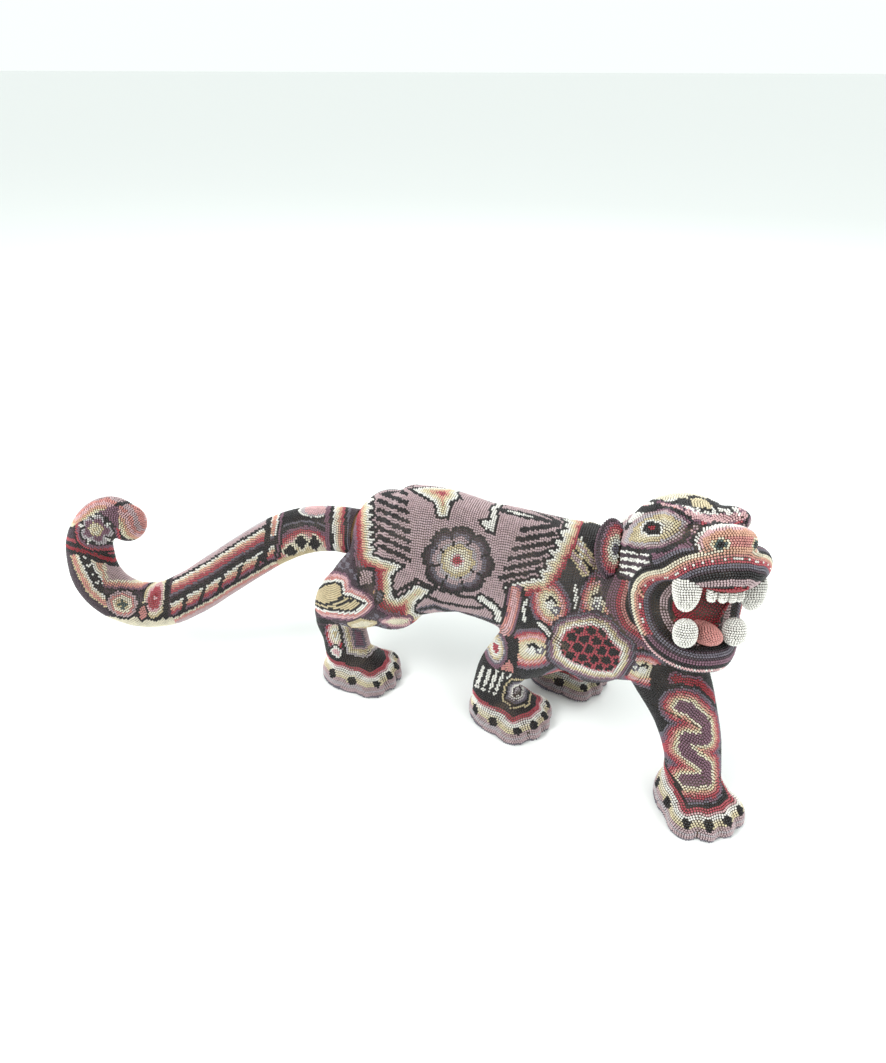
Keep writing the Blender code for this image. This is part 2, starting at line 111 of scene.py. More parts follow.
def pawFrame(name):
    x, y, heading = paws[name]
    return Matrix.Translation(Vector((x, y, 0)) * mm) @ Matrix.Rotation(math.radians(heading), 4, "Z")


def drop(*things):
    for thing in things:
        bpy.data.objects.remove(thing, do_unlink=True)


def newObject(name, mesh):
    thing = bpy.data.objects.new(name, mesh)
    bpy.context.scene.collection.objects.link(thing)
    return thing


def settle(thing):
    # what the modifiers make becomes the mesh, and the object stays at the origin
    graph = bpy.context.evaluated_depsgraph_get()
    mesh = bpy.data.meshes.new_from_object(thing.evaluated_get(graph))
    mesh.transform(thing.matrix_world)
    thing.modifiers.clear()
    thing.data = mesh
    thing.matrix_world = Matrix.Identity(4)
    return thing


def ball(centre, radii, place=None, turn=None, blunt=1.0, taper=0.0):
    soup = bmesh.new()
    bmesh.ops.create_uvsphere(soup, u_segments=32, v_segments=20, radius=1.0)
    for corner in soup.verts:
        x, y, z = (math.copysign(abs(c) ** blunt, c) for c in corner.co)
        corner.co = (x * (1 + taper * z), y * (1 + taper * z), z)
    size = Matrix.Diagonal((radii[0] * mm, radii[1] * mm, radii[2] * mm, 1))
    spot = Matrix.Translation(Vector(centre) * mm) @ (turn or Matrix.Identity(4))
    bmesh.ops.transform(soup, matrix=(place or Matrix.Identity(4)) @ spot @ size, verts=soup.verts)
    mesh = bpy.data.meshes.new("ball")
    soup.to_mesh(mesh)
    soup.free()
    return newObject("ball", mesh)


def tube(stations, widthRatio=1.0, closed=False):
    ring = bpy.data.curves.new("ring", "CURVE")
    ring.dimensions = "2D"
    sides = 28
    outline = ring.splines.new("POLY")
    outline.points.add(sides - 1)
    for i in range(sides):
        angle = 2 * math.pi * i / sides
        outline.points[i].co = (widthRatio * math.cos(angle) * mm, math.sin(angle) * mm, 0, 1)
    outline.use_cyclic_u = True
    ringThing = newObject("ring", ring)
    route = bpy.data.curves.new("route", "CURVE")
    route.dimensions = "3D"
    route.twist_mode = "Z_UP"
    route.resolution_u = 10
    route.bevel_mode = "OBJECT"
    route.bevel_object = ringThing
    route.use_fill_caps = True
    line = route.splines.new("BEZIER")
    line.bezier_points.add(len(stations) - 1)
    for point, (x, y, z, radius) in zip(line.bezier_points, stations):
        point.co = Vector((x, y, z)) * mm
        point.radius = radius
        point.handle_left_type = "AUTO"
        point.handle_right_type = "AUTO"
    line.use_cyclic_u = closed
    routeThing = newObject("route", route)
    graph = bpy.context.evaluated_depsgraph_get()
    thing = newObject("tube", bpy.data.meshes.new_from_object(routeThing.evaluated_get(graph)))
    drop(routeThing, ringThing)
    weld(thing, 0.00001)
    return thing


def weld(thing, distance):
    soup = bmesh.new()
    soup.from_mesh(thing.data)
    bmesh.ops.remove_doubles(soup, verts=soup.verts, dist=distance)
    soup.to_mesh(thing.data)
    soup.free()


def gather(things, name):
    soup = bmesh.new()
    for thing in things:
        soup.from_mesh(thing.data)
    mesh = bpy.data.meshes.new(name)
    soup.to_mesh(mesh)
    soup.free()
    drop(*things)
    return newObject(name, mesh)


def melt(thing, grid, smoothing):
    remesh = thing.modifiers.new("melt", "REMESH")
    remesh.mode = "VOXEL"
    remesh.voxel_size = grid * mm
    smooth = thing.modifiers.new("smooth", "SMOOTH")
    smooth.factor = 0.5
    smooth.iterations = smoothing
    return settle(thing)


def cutAway(thing, cutter, operation="DIFFERENCE"):
    step = thing.modifiers.new("cut", "BOOLEAN")
    step.operation = operation
    step.solver = "EXACT"
    step.object = cutter
    settle(thing)
    drop(cutter)
    return thing


def lipRing():
    left = lipHalf[1:-1]
    right = [(f, -side, up, r) for f, side, up, r in reversed(left)]
    ring = tube([lipHalf[0]] + left + [lipHalf[-1]] + right, closed=True)
    ring.data.transform(headFrame())
    return ring


def carveHead(grid):
    place = headFrame()
    masses = [
        ball((-10, 0, 12), (42, 44, 42), place), ball((24, 0, 22), (30, 24, 18), place),
        ball((45, 0, 29), (14, 20, 12), place), ball((-22, 0, -22), (32, 34, 36), place),
        ball((2, 0, -36), (26, 26, 24), place), ball((10, 0, -8), (26, 28, 30), place),
    ]
    for side in (-1, 1):
        masses.append(ball((2, 24 * side, 14), (28, 18, 24), place))
        masses.append(ball((16, 19 * side, 40), (17, 13, 9), place))
    thing = melt(gather(masses, "head"), grid, 4)
    return cutAway(thing, ball(mouthHollow["centre"], mouthHollow["radii"], place))


def carveFigure(grid, smoothing):
    masses = [
        tube(spineStations, 0.84), ball((-52, 24, 138), (33, 42, 49)), ball((-46, 0, 118), (36, 26, 46)),
        ball((-34, 46, 118), (38, 24, 44)), ball((128, -30, 118), (36, 28, 44)),
        ball((144, 14, 120), (36, 28, 42)), ball((150, -22, 112), (36, 32, 34)),
        ball((150, -4, 160), (34, 38, 38)), ball((158, -8, 172), (34, 38, 36)),
    ]
    for route in legRoutes.values():
        masses.append(tube(route))
    for name in paws:
        place = pawFrame(name)
        masses.append(ball((0, 0, 5), pawShape["pad"], place))
        for side in pawShape["spread"]:
            masses.append(ball((25 - 0.018 * side * side, side, 5), pawShape["toe"], place))
    masses += [carveHead(grid), lipRing()]
    thing = melt(gather(masses, "figureForm"), grid, smoothing)
    ease = thing.vertex_groups.new(name="ease")      # the haunch runs into the back without a crease
    for corner in thing.data.vertices:
        x, z = corner.co.x / mm, corner.co.z / mm
        near = min(1, max(0, 1.6 - abs(x + 26) / 36)) * min(1, max(0, (z - 112) / 20))
        if near > 0:
            ease.add([corner.index], near, "REPLACE")
    smooth = thing.modifiers.new("ease", "SMOOTH")
    smooth.vertex_group = "ease"
    smooth.iterations = 26
    settle(thing)
    thing.data.transform(Matrix.Translation(carverZero))
    return thing


def carveTail(grid, smoothing):
    first = tailStations[0]
    long = [(first[0] + 24, first[1], first[2], first[3])] + tailStations
    knob = ball(tailStations[-1][:3], (16.5, 16.5, 16.5))
    thing = melt(gather([tube(long), knob], "tailForm"), grid, smoothing)
    thing.data.transform(Matrix.Translation(carverZero))
    return thing


def surfaceOf(thing):
    # corner points in mm, their outward directions and the triangles between them
    mesh = thing.data
    mesh.calc_loop_triangles()
    points = np.empty(len(mesh.vertices) * 3)
    mesh.vertices.foreach_get("co", points)
    normals = np.empty(len(mesh.vertices) * 3, dtype=np.float32)
    mesh.vertex_normals.foreach_get("vector", normals)
    triangles = np.empty(len(mesh.loop_triangles) * 3, dtype=np.int32)
    mesh.loop_triangles.foreach_get("vertices", triangles)
    return points.reshape(-1, 3) / mm, normals.reshape(-1, 3).astype(float), triangles.reshape(-1, 3)


def across(da, db, ca, cb, ab):
    # distance at c, from the distances at a and b and the three side lengths
    if da > db:
        da, db, ca, cb = db, da, cb, ca
    u = db - da
    cosC = (ca * ca + cb * cb - ab * ab) / (2 * ca * cb)
    square = ca * ca + cb * cb - 2 * ca * cb * cosC
    half = ca * u * (cb * cosC - ca)
    rest = ca * ca * (u * u - cb * cb * (1 - cosC * cosC))
    root = half * half - square * rest
    if root >= 0 and square > 0:
        t = (-half + math.sqrt(root)) / square
        if t > u:
            reach = ca * (t - u) / t
            low = cb * cosC
            if low < reach and (cosC <= 0 or reach < cb / cosC):
                return da + t
    return min(da + ca, db + cb)


def walkDistance(points, triangles, starts, allowed):
    # distance along the surface from the start corners, over the allowed corners only
    count = len(points)
    stars = [[] for _ in range(count)]
    inside = allowed[triangles].all(axis=1)
    sides = {}
    place = points.tolist()

    def length(i, j):
        key = (i, j) if i < j else (j, i)
        found = sides.get(key)
        if found is None:
            found = math.dist(place[i], place[j])
            sides[key] = found
        return found

    for a, b, c in triangles[inside].tolist():
        stars[a].append((b, c))
        stars[b].append((c, a))
        stars[c].append((a, b))
    far = [math.inf] * count
    done = bytearray(count)
    queue = []
    for i in starts:
        far[i] = 0.0
        queue.append((0.0, i))
    heapq.heapify(queue)
    while queue:
        reached, v = heapq.heappop(queue)
        if done[v]:
            continue
        done[v] = 1
        for b, c in stars[v]:
            for p, q in ((b, c), (c, b)):
                if done[p]:
                    continue
                if done[q]:
                    trial = across(reached, far[q], length(v, p), length(q, p), length(v, q))
                else:
                    trial = reached + length(v, p)
                if trial < far[p]:
                    far[p] = trial
                    heapq.heappush(queue, (trial, p))
    return np.array(far)


def rowLines(points, normals, triangles, level, spacing, first):
    # the lines where level is first, first + spacing, ...: lists of (points, normals, row number)
    values = level[triangles]
    whole = np.isfinite(values).all(axis=1)
    triangles, values = triangles[whole], values[whole]
    low = np.ceil((values.min(axis=1) - first) / spacing).astype(int)
    top = values.max(axis=1)
    joints = {}
    spots = {}
    for step in range(4):
        row = low + step
        height = first + row * spacing
        hit = (height < top) & (row >= 0)
        if not hit.any():
            break
        crossed = (triangles[hit].tolist(), values[hit].tolist(), row[hit].tolist(), height[hit].tolist())
        for tri, vals, r, h in zip(*crossed):
            ends = []
            for i, j in ((0, 1), (1, 2), (2, 0)):
                a, b = vals[i], vals[j]
                if (a < h) != (b < h):
                    va, vb = tri[i], tri[j]
                    key = (va, vb, r) if va < vb else (vb, va, r)
                    if key not in spots:
                        t = (h - a) / (b - a)
                        spots[key] = (va, vb, t) if va < vb else (vb, va, 1 - t)
                    ends.append(key)
            if len(ends) == 2:
                joints.setdefault(ends[0], []).append(ends[1])
                joints.setdefault(ends[1], []).append(ends[0])
    lines = []
    used = set()

    def follow(start):
        chain = [start]
        used.add(start)
        here = start
        while True:
            nextOnes = [n for n in joints[here] if n not in used]
            if not nextOnes:
                return chain
            here = nextOnes[0]
            used.add(here)
            chain.append(here)

    for start in joints:
        if len(joints[start]) == 1 and start not in used:
            lines.append((follow(start), False))
    for start in joints:
        if start not in used:
            lines.append((follow(start), True))
    result = []
    for chain, closed in lines:
        picks = [spots[key] for key in chain]
        a = np.array([p[0] for p in picks])
        b = np.array([p[1] for p in picks])
        t = np.array([p[2] for p in picks])[:, None]
        line = points[a] * (1 - t) + points[b] * t
        outward = normals[a] * (1 - t) + normals[b] * t
        result.append((line, outward, chain[0][2], closed))
    return result


def threadBeads(lines, pitch):
    # beads evenly spaced along every line, alternate rows set off by half a bead
    spots, directions, rows = [], [], []
    for line, normals, row, closed in lines:
        if closed and len(line) > 3:
            start = int(np.argmin(line[:, 2] + 0.3 * line[:, 1]))
            line = np.roll(line, -start, axis=0)
            normals = np.roll(normals, -start, axis=0)
            line = np.vstack([line, line[:1]])
            normals = np.vstack([normals, normals[:1]])
        if len(line) < 2:
            continue
        along = np.concatenate([[0], np.cumsum(np.linalg.norm(np.diff(line, axis=0), axis=1))])
        total = along[-1]
        if total < 0.6 * pitch:
            continue
        number = max(1, int(round(total / pitch)))
        offset = 0.25 + 0.5 * (row % 2)
        where = (np.arange(number) + offset) * total / number
        where = where[where <= total]
        spots.append(np.stack([np.interp(where, along, line[:, k]) for k in range(3)], axis=1))
        directions.append(np.stack([np.interp(where, along, normals[:, k]) for k in range(3)], axis=1))
        rows.append(np.full(len(where), row))
    spots, directions = np.vstack(spots), np.vstack(directions)
    directions /= np.linalg.norm(directions, axis=1)[:, None]
    return spots, directions, np.concatenate(rows)


def thinOut(spots, closest):
    # keeps beads in order, leaving out each that would touch one already kept
    tree = KDTree(len(spots))
    for i, spot in enumerate(spots.tolist()):
        tree.insert(spot, i)
    tree.balance()
    kept = np.zeros(len(spots), dtype=bool)
    for i, spot in enumerate(spots.tolist()):
        if not any(kept[j] for _, j, _ in tree.find_range(spot, closest)):
            kept[i] = True
    return kept


def headLocal(points):
    # points in mm, in the head's own axes: forward, left, up
    place = (Matrix.Translation(carverZero) @ headFrame()).inverted()
    turn = np.array(place.to_3x3())
    return points @ turn.T + np.array(place.translation) / mm


def mouthDepth(points):
    # under 1 inside the hollow of the mouth
    scaled = (headLocal(points) - np.array(mouthHollow["centre"])) / np.array(mouthHollow["radii"])
    return (scaled ** 2).sum(axis=1)


seat = {"bare": 19.6, "edge": 19.8, "rim": 20.2, "rump": 22.5, "behind": -60}     # mm from the peg's axis
neckPlane = {"point": (156, -14, 162), "normal": (0.58, -0.42, 0.70), "lowest": 108}
shift = np.array(carverZero) / mm
mouthEdge = 1.16
legTop = 74


def beyondNeck(points):
    normal = Vector(neckPlane["normal"]).normalized()
    reach = (points - shift - np.array(neckPlane["point"])) @ np.array(normal)
    return (reach > 0) & (points[:, 2] > neckPlane["lowest"])


def tailAxisReach(points):
    y = (pegLow[1] + pegHigh[1]) / 2 / mm
    z = (pegLow[2] + pegHigh[2]) / 2 / mm
    return np.hypot(points[:, 1] - y, points[:, 2] - z)


def layRows(surface, region, level, first=0.9):
    # every bead of one region, threaded along the rows of its own field
    points, normals, triangles = surface
    inside = region[triangles].any(axis=1)
    lines = rowLines(points, normals, triangles[inside], level, beads["rowPitch"], first)
    return threadBeads(lines, beads["pitch"])


def figureBeads(thing):
    surface = surfaceOf(thing)
    points, _, triangles = surface
    above = points[:, 2] > 0.4
    inHead = beyondNeck(points)
    depth = mouthDepth(points)
    inMouth = inHead & (depth < mouthEdge)
    lipStart = np.where(inHead & (np.abs(depth - mouthEdge) < 0.045))[0]
    onFloor = np.where((points[:, 2] > -1.1) & (points[:, 2] < 1.1))[0]
    sole = walkDistance(points, triangles, onFloor.tolist(), points[:, 2] > -1.2)
    wide = beyondNeck(points + 2.6 * np.array(Vector(neckPlane["normal"]).normalized()))
    lip = walkDistance(points, triangles, lipStart.tolist(), inHead | wide)
    inLeg = (sole < legTop) & (points[:, 2] < 92) & ~inHead
    reach = tailAxisReach(points)
    rump = (reach < seat["rump"]) & (points[:, 0] < shift[0] + seat["behind"])
    atSeat = np.where(rump & (reach > seat["edge"]))[0]
    nearLeg = (sole < legTop - 5) & inLeg
    bodySurface = ~inHead & ~nearLeg & ~(rump & (reach < seat["rim"]))
    body = walkDistance(points, triangles, atSeat.tolist(), bodySurface)
    parts = [     # the hollow of the mouth, the head, the legs and the body, labelled 0 to 3
        (inMouth, lip, 1.8), (inHead & ~inMouth, lip, 0.0),
        (inLeg & above, sole, 1.2), (~inHead & ~inLeg & above, body, 1.0),
    ]
    spots, directions, rows, labels = [], [], [], []
    for label, (region, level, first) in enumerate(parts):
        spot, direction, row = layRows(surface, region, level, first)
        spots.append(spot)
        directions.append(direction)
        rows.append(row * beads["rowPitch"] + first)
        labels.append(np.full(len(spot), label))
    spots, directions = np.vstack(spots), np.vstack(directions)
    rows, labels = np.concatenate(rows), np.concatenate(labels)
    kept = thinOut(spots, beads["closest"])
    print("figure beads", int(kept.sum()))
    return spots[kept], directions[kept], rows[kept], labels[kept]


def simpleBeads(thing, startCentre, startReach):
    # rings of beads round one spot, as on a tooth or an ear
    surface = surfaceOf(thing)
    points, _, triangles = surface
    gap = np.linalg.norm(points - np.array(startCentre), axis=1)
    starts = np.where(gap < max(startReach, gap.min() + 0.5))[0]
    level = walkDistance(points, triangles, starts.tolist(), np.ones(len(points), dtype=bool))
    spots, directions, _ = layRows(surface, np.ones(len(points), dtype=bool), level)
    kept = thinOut(spots, beads["closest"])
    return spots[kept], directions[kept]


def tailBeads(thing):
    surface = surfaceOf(thing)
    points, _, triangles = surface
    root = shift[0] + tailStations[0][0]
    behind = points[:, 0] < root + 1.2
    starts = np.where(np.abs(points[:, 0] - root) < 1.2)[0]
    level = walkDistance(points, triangles, starts.tolist(), behind)
    region = points[:, 0] < root
    spots, directions, _ = layRows(surface, region, level, 1.2)
    kept = thinOut(spots, beads["closest"])
    print("tail beads", int(kept.sum()))
    return spots[kept], directions[kept]


def beadMesh():
    # a short six-sided tube with a rounded shoulder and a dimple for its hole, closed underneath
    sides = 6
    rings = [(1.0, 0.0, 0.62), (0.56, 1.0, 0.0)]    # radius, height and painted shade: how much the glass colour is darkened there, as if in shade at the foot between beads
    soup = bmesh.new()
    paintedShade = soup.verts.layers.float.new("beadHole")
    loops = []
    for radius, height, shade in rings:
        loop = []
        for i in range(sides):
            angle = 2 * math.pi * i / sides
            x, y = radius * math.cos(angle), radius * math.sin(angle)
            loop.append(soup.verts.new((x, y, height)))
            loop[-1][paintedShade] = shade
        loops.append(loop)
    for low, high in zip(loops, loops[1:]):
        for i in range(sides):
            j = (i + 1) % sides
            soup.faces.new((low[i], low[j], high[j], high[i]))
    # the dimple in the middle takes the darkest painted shade
    middle = soup.verts.new((0, 0, 0.5))
    middle[paintedShade] = 1.0
    for i in range(sides):
        soup.faces.new((loops[-1][i], loops[-1][(i + 1) % sides], middle))
    soup.faces.new(list(reversed(loops[0])))
    for face in soup.faces:
        face.smooth = True
    mesh = bpy.data.meshes.new("oneBead")
    soup.to_mesh(mesh)
    soup.free()
    return mesh


def beadTree(beadThing):
    # points carry beadNormal and beadColour; inputs set the size, its spread and the seed
    tree = bpy.data.node_groups.new("setBeads", "GeometryNodeTree")
    face = tree.interface
    face.new_socket("Geometry", in_out="INPUT", socket_type="NodeSocketGeometry")
    face.new_socket("Bead radius", in_out="INPUT", socket_type="NodeSocketFloat")
    face.new_socket("Bead height", in_out="INPUT", socket_type="NodeSocketFloat")
    face.new_socket("Size spread", in_out="INPUT", socket_type="NodeSocketFloat")
    face.new_socket("Seed", in_out="INPUT", socket_type="NodeSocketInt")
    face.new_socket("Material", in_out="INPUT", socket_type="NodeSocketMaterial")
    face.new_socket("Geometry", in_out="OUTPUT", socket_type="NodeSocketGeometry")
    add, link = tree.nodes.new, tree.links.new
    enter, leave = add("NodeGroupInput"), add("NodeGroupOutput")
    toPoints = add("GeometryNodeMeshToPoints")
    link(enter.outputs["Geometry"], toPoints.inputs["Mesh"])
    normal = add("GeometryNodeInputNamedAttribute")
    normal.data_type = "FLOAT_VECTOR"
    normal.inputs["Name"].default_value = "beadNormal"
    upright = add("FunctionNodeAlignRotationToVector")
    upright.axis = "Z"
    link(normal.outputs["Attribute"], upright.inputs["Vector"])
    turn = add("FunctionNodeRandomValue")
    turn.data_type = "FLOAT_VECTOR"
    turn.inputs[0].default_value = (-0.10, -0.10, 0.0)
    turn.inputs[1].default_value = (0.10, 0.10, 2 * math.pi)
    link(enter.outputs["Seed"], turn.inputs["Seed"])
    tilt = add("FunctionNodeEulerToRotation")
    link(turn.outputs[0], tilt.inputs[0])
    rotate = add("FunctionNodeRotateRotation")
    rotate.rotation_space = "LOCAL"
    link(upright.outputs["Rotation"], rotate.inputs["Rotation"])
    link(tilt.outputs[0], rotate.inputs["Rotate By"])
    size = add("FunctionNodeRandomValue")
    size.data_type = "FLOAT"
    lowest, highest = add("ShaderNodeMath"), add("ShaderNodeMath")
    lowest.operation = "SUBTRACT"
    highest.operation = "ADD"
    lowest.inputs[0].default_value = 1.0
    highest.inputs[0].default_value = 1.0
    link(enter.outputs["Size spread"], lowest.inputs[1])
    link(enter.outputs["Size spread"], highest.inputs[1])
    link(lowest.outputs[0], size.inputs[2])
    link(highest.outputs[0], size.inputs[3])
    link(enter.outputs["Seed"], size.inputs["Seed"])
    wide, tall = add("ShaderNodeMath"), add("ShaderNodeMath")
    wide.operation = tall.operation = "MULTIPLY"
    link(size.outputs[1], wide.inputs[0])
    link(enter.outputs["Bead radius"], wide.inputs[1])
    link(size.outputs[1], tall.inputs[0])
    link(enter.outputs["Bead height"], tall.inputs[1])
    scale = add("ShaderNodeCombineXYZ")
    link(wide.outputs[0], scale.inputs[0])
    link(wide.outputs[0], scale.inputs[1])
    link(tall.outputs[0], scale.inputs[2])
    single = add("GeometryNodeObjectInfo")
    single.inputs["Object"].default_value = beadThing
    place = add("GeometryNodeInstanceOnPoints")
    link(toPoints.outputs["Points"], place.inputs["Points"])
    link(single.outputs["Geometry"], place.inputs["Instance"])
    link(rotate.outputs["Rotation"], place.inputs["Rotation"])
    link(scale.outputs[0], place.inputs["Scale"])
    real = add("GeometryNodeRealizeInstances")
    link(place.outputs["Instances"], real.inputs["Geometry"])
    finish = add("GeometryNodeSetMaterial")
    link(real.outputs["Geometry"], finish.inputs["Geometry"])
    link(enter.outputs["Material"], finish.inputs["Material"])
    link(finish.outputs["Geometry"], leave.inputs["Geometry"])
    return tree


def setBeads(name, spots, directions, colours, tree, material):
    # one plain mesh of beads at the spots, standing on the wax
    mesh = bpy.data.meshes.new(name)
    mesh.vertices.add(len(spots))
    sunk = (spots - directions * (beads["height"] + 0.1)) * mm
    mesh.vertices.foreach_set("co", sunk.astype(np.float32).ravel())
    normal = mesh.attributes.new("beadNormal", "FLOAT_VECTOR", "POINT")
    normal.data.foreach_set("vector", directions.astype(np.float32).ravel())
    colour = mesh.attributes.new("beadColour", "FLOAT_COLOR", "POINT")
    full = np.ones((len(spots), 4), dtype=np.float32)
    full[:, :3] = colours
    colour.data.foreach_set("color", full.ravel())
    thing = newObject(name, mesh)
    step = thing.modifiers.new("beads", "NODES")
    step.node_group = tree
    values = {
        "Bead radius": beads["radius"] * mm, "Bead height": beads["height"] * mm,
        "Size spread": beads["sizeSpread"], "Seed": beads["seed"], "Material": material,
    }
    for item in tree.interface.items_tree:
        if item.item_type == "SOCKET" and item.in_out == "INPUT" and item.name in values:
            step[item.identifier] = values[item.name]
    settle(thing)
    if "beadNormal" in thing.data.attributes:
        thing.data.attributes.remove(thing.data.attributes["beadNormal"])
    thing.data.name = name
    return thing


def plainNodes(name):
    material = bpy.data.materials.new(name)
    material.use_nodes = True
    nodes, links = material.node_tree.nodes, material.node_tree.links
    return material, nodes, links, nodes["Principled BSDF"]


def speckleGroup():
    # soft blotches at a chosen size: a mask and a bump height, shared by every finish
    group = bpy.data.node_groups.new("speckle", "ShaderNodeTree")
    group.interface.new_socket("Size", in_out="INPUT", socket_type="NodeSocketFloat")
    group.interface.new_socket("Detail", in_out="INPUT", socket_type="NodeSocketFloat")
    group.interface.new_socket("Mask", in_out="OUTPUT", socket_type="NodeSocketFloat")
    group.interface.new_socket("Height", in_out="OUTPUT", socket_type="NodeSocketFloat")
    add, link = group.nodes.new, group.links.new
    enter, leave = add("NodeGroupInput"), add("NodeGroupOutput")
    where = add("ShaderNodeTexCoord")
    broad, fine = add("ShaderNodeTexNoise"), add("ShaderNodeTexNoise")
    quick = add("ShaderNodeMath")
    quick.operation = "MULTIPLY"
    quick.inputs[1].default_value = 6.0
    link(enter.outputs["Size"], broad.inputs["Scale"])
    link(enter.outputs["Detail"], broad.inputs["Detail"])
    link(enter.outputs["Size"], quick.inputs[0])
    link(quick.outputs[0], fine.inputs["Scale"])
    link(where.outputs["Object"], broad.inputs["Vector"])
    link(where.outputs["Object"], fine.inputs["Vector"])
    ramp = add("ShaderNodeMapRange")
    ramp.inputs["From Min"].default_value = 0.35
    ramp.inputs["From Max"].default_value = 0.65
    link(broad.outputs["Fac"], ramp.inputs["Value"])
    link(ramp.outputs["Result"], leave.inputs["Mask"])
    link(fine.outputs["Fac"], leave.inputs["Height"])
    return group


def glassBeadMaterial(speckle):
    material, nodes, links, shader = plainNodes("glassBeads")
    colour = nodes.new("ShaderNodeAttribute")
    colour.attribute_name = "beadColour"
    # reads the painted shade laid on each bead's foot and dimple
    paintedShade = nodes.new("ShaderNodeAttribute")
    paintedShade.attribute_name = "beadHole"
    blotch = nodes.new("ShaderNodeGroup")
    blotch.node_tree = speckle
    blotch.inputs["Size"].default_value = 260.0
    blotch.inputs["Detail"].default_value = 2.0
    shade = nodes.new("ShaderNodeMapRange")      # beads differ a little in depth of colour
    shade.inputs["To Min"].default_value = 0.86
    shade.inputs["To Max"].default_value = 1.08
    links.new(blotch.outputs["Mask"], shade.inputs["Value"])
    # painted shade: the bead colour is darkened towards its foot and darkest in its dimple
    dark = nodes.new("ShaderNodeMapRange")
    dark.inputs["To Min"].default_value = 1.0
    dark.inputs["To Max"].default_value = 0.16
    links.new(paintedShade.outputs["Fac"], dark.inputs["Value"])
    both = nodes.new("ShaderNodeMath")
    both.operation = "MULTIPLY"
    links.new(shade.outputs["Result"], both.inputs[0])
    links.new(dark.outputs["Result"], both.inputs[1])
    tint = nodes.new("ShaderNodeVectorMath")
    tint.operation = "SCALE"
    links.new(colour.outputs["Color"], tint.inputs[0])
    links.new(both.outputs[0], tint.inputs["Scale"])
    links.new(tint.outputs[0], shader.inputs["Base Color"])
    rough = nodes.new("ShaderNodeMapRange")
    rough.inputs["To Min"].default_value = 0.16
    rough.inputs["To Max"].default_value = 0.36
    links.new(blotch.outputs["Height"], rough.inputs["Value"])
    links.new(rough.outputs["Result"], shader.inputs["Roughness"])
    bump = nodes.new("ShaderNodeBump")
    bump.inputs["Strength"].default_value = 0.15
    bump.inputs["Distance"].default_value = 0.0001
    links.new(blotch.outputs["Height"], bump.inputs["Height"])
    links.new(bump.outputs["Normal"], shader.inputs["Normal"])
    shader.inputs["IOR"].default_value = 1.5
    shader.inputs["Coat Weight"].default_value = 0.35
    shader.inputs["Coat Roughness"].default_value = 0.12
    return material


def waxMaterial(speckle):
    material, nodes, links, shader = plainNodes("beeswax")
    blotch = nodes.new("ShaderNodeGroup")
    blotch.node_tree = speckle
    blotch.inputs["Size"].default_value = 90.0
    blotch.inputs["Detail"].default_value = 5.0
    mix = nodes.new("ShaderNodeMix")
    mix.data_type = "RGBA"
    mix.inputs[6].default_value = (0.022, 0.012, 0.008, 1)
    mix.inputs[7].default_value = (0.065, 0.036, 0.018, 1)
    links.new(blotch.outputs["Mask"], mix.inputs[0])
    links.new(mix.outputs[2], shader.inputs["Base Color"])
    rough = nodes.new("ShaderNodeMapRange")
    rough.inputs["To Min"].default_value = 0.45
    rough.inputs["To Max"].default_value = 0.72
    links.new(blotch.outputs["Height"], rough.inputs["Value"])
    links.new(rough.outputs["Result"], shader.inputs["Roughness"])
    bump = nodes.new("ShaderNodeBump")
    bump.inputs["Strength"].default_value = 0.5
    bump.inputs["Distance"].default_value = 0.0004
    links.new(blotch.outputs["Height"], bump.inputs["Height"])
    links.new(bump.outputs["Normal"], shader.inputs["Normal"])
    shader.inputs["Subsurface Weight"].default_value = 0.15
    return material


def woodMaterial(name, pale, dark, speckle):
    material, nodes, links, shader = plainNodes(name)
    where = nodes.new("ShaderNodeTexCoord")
    stretch = nodes.new("ShaderNodeMapping")
    stretch.inputs["Scale"].default_value = (14.0, 90.0, 90.0)
    links.new(where.outputs["Object"], stretch.inputs["Vector"])
    grain = nodes.new("ShaderNodeTexNoise")
    grain.inputs["Scale"].default_value = 1.0
    grain.inputs["Detail"].default_value = 8.0
    grain.inputs["Distortion"].default_value = 1.4
    links.new(stretch.outputs["Vector"], grain.inputs["Vector"])
    ramp = nodes.new("ShaderNodeValToRGB")
    ramp.color_ramp.elements[0].position = 0.36
    ramp.color_ramp.elements[0].color = (*dark, 1)
    ramp.color_ramp.elements[1].position = 0.62
    ramp.color_ramp.elements[1].color = (*pale, 1)
    links.new(grain.outputs["Fac"], ramp.inputs["Fac"])
    blotch = nodes.new("ShaderNodeGroup")
    blotch.node_tree = speckle
    blotch.inputs["Size"].default_value = 40.0
    blotch.inputs["Detail"].default_value = 6.0
    worn = nodes.new("ShaderNodeMix")
    worn.data_type = "RGBA"
    worn.blend_type = "MULTIPLY"
    worn.inputs[7].default_value = (0.78, 0.70, 0.62, 1)
    links.new(blotch.outputs["Mask"], worn.inputs[0])
    links.new(ramp.outputs["Color"], worn.inputs[6])
    links.new(worn.outputs[2], shader.inputs["Base Color"])
    rough = nodes.new("ShaderNodeMapRange")
    rough.inputs["To Min"].default_value = 0.62
    rough.inputs["To Max"].default_value = 0.86
    links.new(grain.outputs["Fac"], rough.inputs["Value"])
    links.new(rough.outputs["Result"], shader.inputs["Roughness"])
    bump = nodes.new("ShaderNodeBump")
    bump.inputs["Strength"].default_value = 0.45
    bump.inputs["Distance"].default_value = 0.0003
    links.new(grain.outputs["Fac"], bump.inputs["Height"])
    links.new(bump.outputs["Normal"], shader.inputs["Normal"])
    return material


